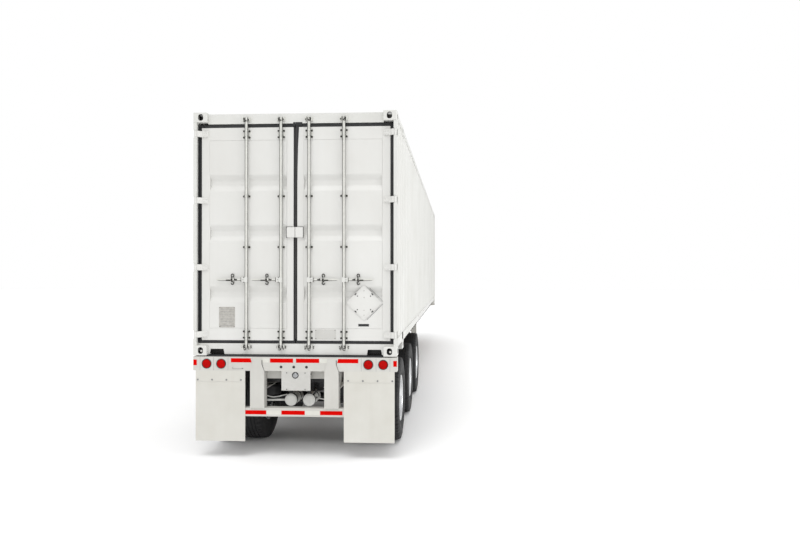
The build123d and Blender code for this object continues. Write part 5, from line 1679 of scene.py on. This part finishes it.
@dataclass
class SillDress:
    """Dark backing boxes behind the sill's pockets and a dark pad on the bolster, both painted shade, and the lamp
    panels' seams.
    """

    place: float = 0.947
    half_foot: float = 0.091
    half_top: float = 0.0785
    low: float = BASE + 0.013
    high: float = BASE + 0.075

    def pocket(self, sign: float) -> Surface:
        """The dark plates behind, over and beside one pocket, inside the hollow sill: painted shade of the pocket."""
        x = sign * self.place
        near, far = LEAF_REAR + 0.0065, LEAF_REAR + 0.0600
        made = block((x - 0.105, far, BASE + 0.003), (x + 0.105, far + 0.003, self.high + 0.020), 0.0)
        made.join(block(
            (x - self.half_top - 0.004, near, self.high + 0.001), (x + self.half_top + 0.004, far, self.high + 0.004),
            0.0
        ))
        for way in (-1, 1):
            foot, top = x + way * (self.half_foot + 0.0015), x + way * (self.half_top + 0.0015)
            outline = np.array([
                [foot, self.low], [foot + way * 0.003, self.low], [top + way * 0.003, self.high], [top, self.high]
            ])
            made.join(plate(outline if way > 0 else outline[::-1], "xz", near, far, 0.0))
        return made

    def build(self) -> None:
        """Makes the backing boxes and the pad of painted shade, the seams and the keeper bolts."""
        boxes, seams, bolts, gaps, tips = (Surface.empty() for _ in range(5))
        for _, sign in SIDES:
            boxes.join(self.pocket(sign))
            # A light tip in each bottom rear casting's hole: painted highlight on the twist lock's head.
            tip = np.array([[0.020, 0.013], [0.004, 0.013], [0.0, 0.008]])
            tips.join(turned(tip, (sign * CASTING_HOLE + 0.009, REAR + 0.004, BASE + 0.054), "y", 14))
            for x in (0.797, 0.972, 1.136):
                seams.join(block(
                    (sign * x - 0.0015, BOLSTER_REAR - 0.0004, 1.044),
                    (sign * x + 0.0015, BOLSTER_REAR + 0.0002, 1.198), 0.0
                ))
            for x in (0.168, 0.585):
                for side in (-1, 1):
                    for z, across in ((BASE + 0.092, 0.014), (BASE + 0.111, 0.014)):
                        bolts.join(hexagon_head((sign * x + side * 0.053, LEAF_REAR, z), "y", -1, across, 0.008))
        # Dark lines by the left lamps: painted shade round a small slotted bracket.
        for x0, x1, z0, z1 in (
            (-0.741, -0.614, 1.062, 1.066), (-0.741, -0.737, 1.062, 1.086), (-0.630, -0.614, 1.066, 1.074)
        ):
            seams.join(block((x0, BOLSTER_REAR - 0.0015, z0), (x1, BOLSTER_REAR + 0.0002, z1), 0.0))
        for line in (GUSSET_LINE, GUSSET_LINE + np.array([0.888, 0.0])):
            path = np.column_stack([line[:, 0], np.full(len(line), BOLSTER_REAR - 0.0040), line[:, 1]])
            gaps.join(pipe(smooth_path(path, 3), 0.0036, 8))
        # The pockets' backing boxes are dark: painted shade.
        piece("sill_pocket_shade_boxes", boxes, Paint.WAX, "trailer", 30)
        piece("strap_shadow_gaps", gaps, Paint.BLACK, "trailer", 30)
        piece("twist_lock_highlights", tips, Paint.CHASSIS, "trailer", 30)
        piece("lamp_panel_seams_and_shade_lines", seams, Paint.HUB, "trailer", 30)
        piece("keeper_bolts", bolts, Paint.DARK_ZINC, "trailer", 30)
        # A dark pad on the bolster's top: painted shade of the gap under the sill.
        pad = block((-1.050, BOLSTER_REAR + 0.004, BOLSTER_TOP), (1.050, BOLSTER_REAR + 0.110, BASE + 0.006), 0.002)
        piece("bolster_shade_pad", pad, Paint.GASKET, "trailer", 30)


# ---------------------------------------------------------------- running gear
@dataclass
class TwinWheel:
    """One pair of tyres on dished steel-centred rims, with hub, nuts and drum, on one axle end."""

    axle: int
    name: str
    sign: float
    spacing: float = 0.343
    radius: float = 0.5415
    half_section: float = 0.139
    bead: float = 0.286
    half_bead: float = 0.115
    pitches: int = 54
    nuts: int = 10

    def tyre(self, place: float) -> Surface:
        """One tyre as a surface of two parameters: the place round its section and the angle round the wheel.

        The radius of the section's tread points is lowered in four grooves that run round, and in the shoulder
        slots, which take a fifth of each pitch and only the outer ribs.

        Args:
            place: Distance of the tyre's middle from the middle of the pair, outward.

        Returns:
            The closed tyre.
        """
        r = self.radius
        tread = [
            [-0.122, r - 0.010], [-0.108, r - 0.0045], [-0.074, r - 0.0018], [-0.0735, r - 0.014], [-0.0635, r - 0.014],
            [-0.063, r - 0.0013], [-0.029, r - 0.0004], [-0.0285, r - 0.014], [-0.0195, r - 0.014],
            [-0.019, r - 0.0002],
        ]
        tread += [[-x, y] for x, y in reversed(tread)]
        wall = [
            [0.1285, r - 0.020], [0.1325, r - 0.036], [0.1330, r - 0.048], [0.1352, r - 0.052], [0.1355, r - 0.060],
            [0.1375, r - 0.064],
            [self.half_section, r - 0.105], [0.1372, r - 0.140], [0.1368, r - 0.146], [0.1345, r - 0.149],
            [0.1300, r - 0.178],
            [0.1220, r - 0.207], [0.1165, r - 0.216], [0.1160, r - 0.226], [self.half_bead - 0.002, self.bead + 0.004],
        ]
        inner = [[-x, y] for x, y in reversed(wall)]
        belt = [[self.half_bead - 0.006, self.bead], [0.0, self.bead - 0.0015], [-self.half_bead + 0.006, self.bead]]
        section = np.array(inner + tread + wall + belt)
        turn = np.array([0.0, 0.035, 0.20, 0.235])[None, :] + np.arange(self.pitches)[:, None]
        angle = (turn.reshape(-1) / self.pitches) * 2 * np.pi
        slot = np.tile([0.0, 1.0, 1.0, 0.0], self.pitches)
        wide = np.abs(section[:, 0])
        shoulder = ((wide > 0.073) & (wide < 0.1287) & (section[:, 1] > r - 0.030)).astype(float)
        depth = 0.011 * shoulder * np.clip((wide - 0.080) / 0.02, 0.0, 1.0)
        reach = section[:, 1:] - depth[:, None] * slot[None, :]
        x = self.sign * (TWIN_MIDDLE + place) + np.repeat(section[:, :1], len(angle), axis=1)
        y = AXLE_PLACES[self.axle - 1] + reach * np.cos(angle)
        z = AXLE_HEIGHT + reach * np.sin(angle)
        points = np.stack([x, y, z], axis=-1).reshape(-1, 3)
        return Surface.empty().take(points, grid_faces(len(section), len(angle), True, True))

    def centre(self) -> tuple[float, float, float]:
        """The middle of the pair."""
        return (self.sign * TWIN_MIDDLE, AXLE_PLACES[self.axle - 1], AXLE_HEIGHT)

    def rim(self, facing: float) -> Surface:
        """One rim: its flanges, bead seats and well, as a closed section turned about the axle.

        Args:
            facing: 1 for the outer rim and -1 for the inner one.

        Returns:
            The rim, whose disc edge lies at the middle of the pair.
        """
        b, seat, wall = self.half_bead, self.bead - 0.002, 0.010
        out = self.spacing / 2
        upper = [
            [b + 0.0085, seat + 0.012], [b + 0.006, seat + 0.015], [b + 0.002, seat + 0.013],
            [b + 0.000, seat + 0.002], [b - 0.004, seat - 0.001],
            [0.060, seat - 0.006], [0.045, seat - 0.022], [-0.050, seat - 0.022], [-0.070, seat - 0.006],
            [-b + 0.004, seat - 0.001],
            [-b, seat + 0.002], [-b - 0.002, seat + 0.013], [-b - 0.006, seat + 0.015], [-b - 0.0085, seat + 0.012],
        ]
        lower = [
            [-b - 0.004, seat - 0.004], [-b + 0.004, seat - wall], [-0.070, seat - wall - 0.006],
            [-0.052, seat - wall - 0.022],
            [0.047, seat - wall - 0.022], [0.062, seat - wall - 0.006], [b - 0.004, seat - wall],
            [b + 0.004, seat - 0.004],
        ]
        section = np.array(upper + lower)
        section[:, 0] = section[:, 0] + out
        section[:, 0] *= facing * self.sign
        return turned(section, self.centre(), "x", 72, True)

    def disc(self) -> Surface:
        """The two wheel discs, bolted face to face, with ten hand holes through them.

        A hand hole's cell is a square in angle and radius with a rounded hole in it, bent round the axle.

        Returns:
            The front and back of the discs, and the walls of the holes.
        """
        x, y, z = self.centre()
        step = 2 * np.pi / self.nuts
        r0, r1, mid = 0.186, 0.252, 0.219
        made = Surface.empty()
        half = 0.024
        angle = np.linspace(0, 2 * np.pi, 16 * 5, endpoint=False)
        hole = np.stack([0.026 / mid * np.cos(angle), 0.0225 * np.sin(angle)], axis=-1)
        square = np.stack([np.cos(angle), np.sin(angle)], axis=-1)
        square /= np.abs(square).max(axis=1, keepdims=True)
        square *= np.array([step / 2, (r1 - r0) / 2])
        faces = grid_faces(2, len(angle), False, True)
        for n in range(self.nuts):
            turn = (n + 0.5) * step
            for level, flip in ((half / 2, False), (-half / 2, True)):
                rings = []
                for ring in (square, hole):
                    t, reach = turn + ring[:, 0], mid + ring[:, 1]
                    rings.append(np.stack(
                        [np.full(len(t), x + self.sign * level), y + reach * np.cos(t), z + reach * np.sin(t)], axis=-1
                    ))
                turned_faces = faces if flip != (self.sign < 0) else faces[:, ::-1]
                made.take(np.vstack(rings), turned_faces)
            t, reach = turn + hole[:, 0], mid + hole[:, 1]
            rings = [np.stack(
                [np.full(len(t), x + self.sign * d), y + reach * np.cos(t), z + reach * np.sin(t)], axis=-1
            ) for d in (half / 2, -half / 2)]
            made.take(np.vstack(rings), faces if self.sign < 0 else faces[:, ::-1])
        for a, b in ((0.100, r0), (r1, 0.266)):
            rows = np.array([[half / 2, a], [half / 2, b], [-half / 2, b], [-half / 2, a]])
            rows[:, 0] *= self.sign
            made.join(turned(rows, (x, y, z), "x", 80, True))
        return made

    def hub(self) -> Surface:
        """The hub with its flange and bearing cap, the drum behind the discs, and the spindle nut's cover."""
        face = 0.012
        outer = np.array(
            [
                [face, 0.1400], [face + 0.012, 0.1395], [face + 0.020, 0.130], [face + 0.032, 0.112], [0.070, 0.101],
                [0.108, 0.097], [0.116, 0.0965],
                [0.118, 0.092], [0.124, 0.0915], [0.126, 0.081], [0.150, 0.079], [0.168, 0.073], [0.176, 0.062],
                [0.179, 0.040], [0.1795, 0.004],
            ]
        )
        drum = np.array([
            [-0.013, 0.130], [-0.020, 0.205], [-0.032, 0.214], [-0.150, 0.216], [-0.152, 0.222], [-0.175, 0.222],
            [-0.178, 0.190], [-0.120, 0.120], [-0.239, 0.085], [-0.239, 0.0395]
        ])
        made = Surface.empty()
        for rows in (outer, drum[::-1]):
            turned_rows = rows * np.array([self.sign, 1.0])
            made.join(turned(turned_rows, self.centre(), "x", 56))
        return made

    def fasteners(self) -> tuple[Surface, Surface]:
        """Wheel nuts with washers and stud ends round the hub, and the cap's small bolts."""
        x, y, z = self.centre()
        nuts, bolts = Surface.empty(), Surface.empty()
        for n in range(self.nuts):
            t = n * 2 * np.pi / self.nuts
            place = (x + self.sign * 0.012, y + 0.1675 * math.cos(t), z + 0.1675 * math.sin(t))
            nuts.join(turned(np.array([[0.0, 0.021], [self.sign * 0.004, 0.021]]), place, "x", 16))
            nuts.join(hexagon_head((place[0] + self.sign * 0.004, place[1], place[2]), "x", self.sign, 0.038, 0.022))
            nuts.join(turned(
                np.array([[0.0, 0.010], [self.sign * 0.038, 0.010], [self.sign * 0.040, 0.008]]), place, "x", 12
            ))
        for n in range(6):
            t = (n + 0.5) * np.pi / 3
            place = (x + self.sign * 0.124, y + 0.0865 * math.cos(t), z + 0.0865 * math.sin(t))
            bolts.join(hexagon_head(place, "x", self.sign, 0.012, 0.006))
        return nuts, bolts

    def build(self) -> None:
        """Makes the pair in place of its plain tyres and wheel."""
        node = f"axle{self.axle}_{self.name}"
        body = f"{node}_wheels"
        tyres = Surface.empty()
        for place in (-self.spacing / 2, self.spacing / 2):
            tyres.join(self.tyre(place))
        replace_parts(piece(f"{node}_tyre_pair", tyres, Paint.TYRE, body, 28), f"{node}_tyres")
        rims = self.rim(1.0).join(self.rim(-1.0)).join(self.disc())
        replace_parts(piece(f"{node}_rims", rims, Paint.RIM, body, 35), f"{node}_wheel")
        piece(f"{node}_hub", self.hub(), Paint.HUB, body, 35)
        nuts, bolts = self.fasteners()
        piece(f"{node}_nuts", nuts, Paint.ZINC, body, 30)
        piece(f"{node}_cap_bolts", bolts, Paint.DARK_ZINC, body, 30)


@dataclass
class Suspension:
    """Air springs, brake chambers and air reservoirs, as round as the real ones."""

    seat: float = 0.607
    beam_low: float = 0.800
    spring_x: float = 0.445
    spring_back: float = 0.410
    spring_radius: float = 0.125
    chamber_radius: float = 0.082
    tank_radius: float = 0.077
    tank_x: float = 0.112
    tank_level: float = 0.647
    tank_rear: float = REAR + 0.250
    tank_length: float = 0.400
    dish: float = 0.045
    strap_places: tuple[float, ...] = (0.040, 0.230)
    strap_wide: float = 0.040
    bar_low: float = 0.060
    bar_high: float = 0.110

    def spring(self, x: float, y: float) -> tuple[Surface, Surface]:
        """One air spring: its piston below and its rolling-lobe bellows with a bead plate above."""
        tall = self.beam_low - self.seat
        piston = np.array([
            [0.0, 0.070], [0.004, 0.088], [tall * 0.34, 0.084], [tall * 0.42, 0.078], [tall * 0.42, 0.01]
        ])
        s = self.spring_radius
        lobe = np.array(
            [
                [tall * 0.30, 0.085], [tall * 0.25, 0.093], [tall * 0.25, 0.104], [tall * 0.30, 0.115],
                [tall * 0.42, s - 0.003], [tall * 0.60, s],
                [tall * 0.78, s - 0.002], [tall * 0.90, s - 0.009], [tall * 0.94, s - 0.018], [tall * 0.95, 0.080],
                [tall, 0.078], [tall, 0.01],
            ]
        )
        return turned(piston, (x, y, self.seat), "z", 40), turned(lobe, (x, y, self.seat), "z", 48)

    def chamber(self, x: float, y: float) -> Surface:
        """One spring brake chamber: two stamped cans with clamp bands, on a rod towards the axle."""
        c = self.chamber_radius
        rows = np.array(
            [
                [0.000, 0.030], [0.002, c - 0.018], [0.012, c - 0.010], [0.055, c - 0.006], [0.058, c - 0.001],
                [0.072, c - 0.001], [0.075, c - 0.006],
                [0.105, c - 0.014], [0.120, c - 0.014], [0.128, c - 0.006], [0.165, c - 0.004], [0.168, c],
                [0.182, c], [0.185, c - 0.005],
                [0.226, c - 0.012], [0.243, c - 0.030], [0.249, c - 0.056], [0.250, 0.006],
            ]
        )
        return turned(rows, (x, y, AXLE_HEIGHT + 0.020), "y", 40)

    def tank(self, x: float) -> Surface:
        """One air reservoir with dished ends, whose outline is a quarter ellipse over its dish."""
        t = np.linspace(0.02, 1.0, 9)
        cap = np.stack([self.dish * (1 - np.cos(t * np.pi / 2)), self.tank_radius * np.sin(t * np.pi / 2)], axis=-1)
        far = cap[::-1] * np.array([-1.0, 1.0]) + np.array([self.tank_length, 0.0])
        rows = np.vstack([
            cap, [[0.060, self.tank_radius - 0.0004], [self.tank_length - 0.060, self.tank_radius - 0.0004]], far
        ])
        made = turned(rows, (x, self.tank_rear, self.tank_level), "y", 48)
        port = np.array([[0.004, 0.012], [-0.004, 0.012], [-0.004, 0.008], [-0.001, 0.004]])
        return made.join(turned(port, (x, self.tank_rear + 0.001, self.tank_level), "y", 12))

    def build(self) -> None:
        """Makes the springs, chambers and reservoirs in place of the plain ones."""
        pistons, lobes, cans, arms = Surface.empty(), Surface.empty(), Surface.empty(), Surface.empty()
        for y in AXLE_PLACES:
            for _, sign in SIDES:
                piston, lobe = self.spring(sign * self.spring_x, y - self.spring_back)
                pistons.join(piston)
                lobes.join(lobe)
                x = sign * (self.spring_x - 0.045 - self.chamber_radius - 0.020)
                cans.join(self.chamber(x, y + 0.0635 + 0.040))
                arms.join(block(
                    (x - 0.060, y + 0.050, AXLE_HEIGHT - 0.020), (x + 0.060, y + 0.1035, AXLE_HEIGHT + 0.060), 0.005
                ))
        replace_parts(piece("air_spring_bellows", lobes, Paint.BELLOWS, "trailer", 40), "air_springs")
        piece("air_spring_pistons", pistons, Paint.BLACK, "trailer", 40)
        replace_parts(piece("brake_chamber_cans", cans, Paint.BLACK, "trailer", 40), "brake_chambers")
        piece("brake_chamber_brackets", arms, Paint.CHASSIS, "trailer", 30)
        tanks, straps = Surface.empty(), Surface.empty()
        for _, sign in SIDES:
            x = sign * self.tank_x
            tanks.join(self.tank(x))
            for d in self.strap_places:
                y0, y1 = self.tank_rear + d, self.tank_rear + d + self.strap_wide
                straps.join(block(
                    (
                        x - 0.020, y0, self.tank_level + self.tank_radius - 0.008
                    ), (x + 0.020, y1, self.beam_low + self.bar_low),
                    0.002
                ))
                band = np.array([
                    [d, self.tank_radius - 0.001], [d, self.tank_radius + 0.0002],
                    [d + 0.04, self.tank_radius + 0.0002], [d + 0.04, self.tank_radius - 0.001]
                ])
                straps.join(turned(band, (x, self.tank_rear, self.tank_level), "y", 48, True))
        for d in self.strap_places:
            y0, y1 = self.tank_rear + d, self.tank_rear + d + self.strap_wide
            straps.join(block(
                (-0.440, y0, self.beam_low + self.bar_low), (0.440, y1, self.beam_low + self.bar_high), 0.003
            ))
        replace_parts(piece("air_tanks", tanks, Paint.TANK, "trailer", 40), "air_reservoirs")
        web = block((-0.440, REAR + 0.120, 0.934), (0.440, REAR + 0.128, 1.046), 0.002)
        piece("rear_cross_web", web, Paint.CHASSIS, "trailer", 30)
        stiffener = block((-0.369, REAR + 0.116, 0.934), (-0.360, REAR + 0.121, 1.042), 0.001)
        for x in (0.150, 0.173):
            stiffener.join(hexagon_head((x, REAR + 0.121, 0.990), "y", -1, 0.014, 0.006))
        piece("rear_cross_web_stiffener", stiffener, Paint.BLACK, "trailer", 30)
        piece("air_tank_straps", straps, Paint.BLACK, "trailer", 30)


@dataclass
class AirLines:
    """The short hoses and the rigid pipe between the reservoirs, the beams and the bar over the reservoirs.

    Each line is a row of its name, its radius, its place along, its finish, and its points across and up. Each
    end goes into a reservoir's shell, the bar's underside or a bracket that hangs from a main beam.
    """

    along: float = REAR + 0.360
    hung: float = REAR + 0.310
    beam_low: float = 0.800
    bracket: float = 0.442
    bracket_foot: float = 0.612
    bracket_half: float = 0.025

    def build(self) -> None:
        """Makes the lines and their end nuts, and reports each one's length."""
        lines = (
            (
                "supply_hose", 0.0075, self.along, Paint.TANK,
                ((-0.442, 0.684), (-0.364, 0.666), (-0.290, 0.672), (-0.225, 0.688), (-0.164, 0.703))
            ),
            (
                "service_hose", 0.0085, self.along, Paint.GASKET,
                ((-0.442, 0.664), (-0.364, 0.647), (-0.290, 0.651), (-0.235, 0.664), (-0.178, 0.684))
            ),
            (
                "brake_pipe", 0.0130, self.along, Paint.TANK,
                ((-0.442, 0.630), (-0.360, 0.631), (-0.270, 0.632), (-0.184, 0.633))
            ),
            (
                "drain_hose", 0.0075, self.along, Paint.TANK,
                ((0.187, 0.664), (0.260, 0.646), (0.345, 0.642), (0.442, 0.664))
            ),
            (
                "charging_hose", 0.0095, self.hung, Paint.GASKET,
                ((0.330, 0.862), (0.332, 0.825), (0.310, 0.790), (0.262, 0.772), (0.206, 0.756), (0.160, 0.706))
            ),
        )
        nuts = Surface.empty()
        for name, radius, place, paint, row in lines:
            flat = np.array(row)
            path = smooth_path(np.column_stack([flat[:, 0], np.full(len(flat), place), flat[:, 1]]), 8)
            piece(name, pipe(path, radius, 12), paint, "trailer", 40)
            LOG.info("%s: %.3f m long", name, float(np.linalg.norm(np.diff(path, axis=0), axis=1).sum()))
            for end, inner in ((0, 3), (-1, -4)):
                nuts.join(pipe(np.array([path[end], (path[end] + path[inner]) / 2]), radius + 0.004, 6))
        piece("air_line_nuts", nuts, Paint.DARK_ZINC, "trailer", 30)
        brackets = Surface.empty()
        for _, sign in SIDES:
            near, far = sorted((sign * (self.bracket - 0.001), sign * (self.bracket + 0.005)))
            low = (near, self.along - self.bracket_half, self.bracket_foot)
            brackets.join(block(low, (far, self.along + self.bracket_half, self.beam_low + 0.001), 0.001))
        piece("air_line_brackets", brackets, Paint.BLACK, "trailer", 30)


# ---------------------------------------------------------------- the solids that stay in view
SOLID_PAINT: dict[str, Paint] = {
    "rear_posts": Paint.BOX,
    "front_posts": Paint.BOX,
    "front_rails": Paint.BOX,
    "top_side_rails": Paint.BOX,
    "bottom_side_rails": Paint.BOX,
    "door_frame": Paint.BOX,
    "hinge_brackets": Paint.BOX,
    "cam_keepers": Paint.ZINC,
    # Bitumen wax on the floor members, dark partly as painted shade under the chassis.
    "floor_crossmembers": Paint.WAX,
    "cargo_floor": Paint.FLOOR,
    "left_door_gasket": Paint.GASKET,
    "right_door_gasket": Paint.GASKET,
    # Black enamel on the running gear, dark partly as painted shade under the chassis.
    "axles": Paint.BLACK,
    "trailing_arms": Paint.BLACK,
    "suspension_hangers": Paint.BLACK,
    "landing_drive": Paint.BLACK,
    "twist_locks": Paint.BLACK,
    "kingpin": Paint.BARE,
}


def dress_solids(nodes: dict[str, bpy.types.Object]) -> None:
    """Gives each solid its finish; the chassis enamel goes on every one that isn't listed."""
    for name, solid in nodes.items():
        paint = SOLID_PAINT.get(name, Paint.CHASSIS)
        solid.data.materials.clear()
        solid.data.materials.append(paint.material())
        LOG.info("%s: %s", name, paint.value.name)


# ---------------------------------------------------------------- studio
@dataclass
class Studio:
    """A pale floor, one soft overhead light, one soft side light, and the camera."""

    place: tuple[float, float, float] = (1.902, -14.249, 2.209)
    tilt: float = 90.203
    turn: float = 3.016
    lens: float = 28.495
    shift: tuple[float, float] = (-0.0275, 0.0045)
    floor_half: float = 60.0

    def floor(self) -> None:
        """A matt floor with a barely visible change of tone."""
        h = self.floor_half
        u = np.linspace(-h, h, 9)
        points = np.stack(np.meshgrid(u, u, indexing="ij") + [np.zeros((9, 9))], axis=-1).reshape(-1, 3)
        mesh = bpy.data.meshes.new("studio_floor")
        mesh.from_pydata(points.tolist(), [], grid_faces(9, 9, False, False).tolist())
        made = bpy.data.objects.new("studio_floor", mesh)
        bpy.context.scene.collection.objects.link(made)
        finish = Finish(
            "matt_studio_floor", "#FAFAFA", "#F7F7F7", 0.85, 0.95, patch_mm=6000.0, grain_mm=60.0, relief_mm=0.1
        )
        mesh.materials.append(finish.build())

    def light(self, name: str, place: Sequence[float], aim: Sequence[float], size: float, power: float) -> None:
        """An area light that faces a point.

        Args:
            name: Its name.
            place: Where it hangs.
            aim: The point that it faces.
            size: Side of its square in metres.
            power: Its power in watts.
        """
        data = bpy.data.lights.new(name, "AREA")
        data.size = size
        data.energy = power
        lamp = bpy.data.objects.new(name, data)
        lamp.location = place
        way = np.asarray(aim, dtype=float) - np.asarray(place, dtype=float)
        flat = math.hypot(way[0], way[1])
        lamp.rotation_euler = (math.atan2(flat, -way[2]), 0.0, math.atan2(-way[0], way[1]))
        bpy.context.scene.collection.objects.link(lamp)

    def sun(self, name: str, source: Sequence[float], spread: float, strength: float) -> None:
        """A broad parallel light, even over the whole floor.

        Args:
            name: Its name.
            source: The direction that it comes from.
            spread: Its angular width in degrees.
            strength: Its strength in watts to the square metre.
        """
        data = bpy.data.lights.new(name, "SUN")
        data.angle = math.radians(spread)
        data.energy = strength
        lamp = bpy.data.objects.new(name, data)
        flat = math.hypot(source[0], source[1])
        lamp.rotation_euler = (math.atan2(flat, source[2]), 0.0, math.atan2(source[0], -source[1]))
        bpy.context.scene.collection.objects.link(lamp)

    def build(self) -> None:
        """Makes the floor, the lights, the white surround and the camera."""
        self.floor()
        world = bpy.data.worlds.new("white_surround")
        bpy.context.scene.world = world
        world.use_nodes = True
        sky = world.node_tree.nodes["Background"]
        sky.inputs["Color"].default_value = (1.0, 1.0, 1.0, 1.0)
        sky.inputs["Strength"].default_value = 0.9
        seen = add_node(world.node_tree, "ShaderNodeBackground", {"Color": (1.0, 1.0, 1.0, 1.0), "Strength": 1.0}, {})
        path = add_node(world.node_tree, "ShaderNodeLightPath", {}, {})
        mix = add_node(
            world.node_tree,
            "ShaderNodeMixShader",
            {},
            {0: path.outputs["Is Camera Ray"], 1: sky.outputs[0], 2: seen.outputs[0]},
        )
        world.node_tree.links.new(mix.outputs[0], world.node_tree.nodes["World Output"].inputs["Surface"])
        self.sun("broad_sky", (-0.08, -0.55, 1.0), 34.0, 1.15)
        self.light("rear_key", (-2.0, -26.0, 3.0), (0.0, -6.8, 1.8), 6.0, 150.0)
        self.light("side_fill", (20.0, -10.0, 5.0), (1.2, -2.0, 2.4), 12.0, 1550.0)
        bpy.context.scene.view_settings.view_transform = "Standard"
        data = bpy.data.cameras.new("camera")
        data.lens = self.lens
        data.sensor_width = 36.0
        data.shift_x, data.shift_y = self.shift
        data.clip_end = 200.0
        camera = bpy.data.objects.new("camera", data)
        camera.location = self.place
        camera.rotation_euler = (math.radians(self.tilt), 0.0, math.radians(self.turn))
        bpy.context.scene.collection.objects.link(camera)
        bpy.context.scene.camera = camera


def main() -> None:
    """Builds the trailer's pieces over the solids and sets up the studio."""
    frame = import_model()
    dress_solids(frame["nodes"])
    Studio().build()
    FoldedWalls().build()
    RibbedRoof().build()
    Castings().build()
    for name, sign in SIDES:
        DoorLeaf(name, sign).build()
        LockGear(name, sign).build()
        DoorDress(name, sign).build()
    TapeBand().build()
    RearLamps().build()
    RearFittings().build()
    SillDress().build()
    for axle in range(1, len(AXLE_PLACES) + 1):
        for name, sign in SIDES:
            TwinWheel(axle, name, sign).build()
    Suspension().build()
    AirLines().build()


if __name__ == "__main__":
    main()
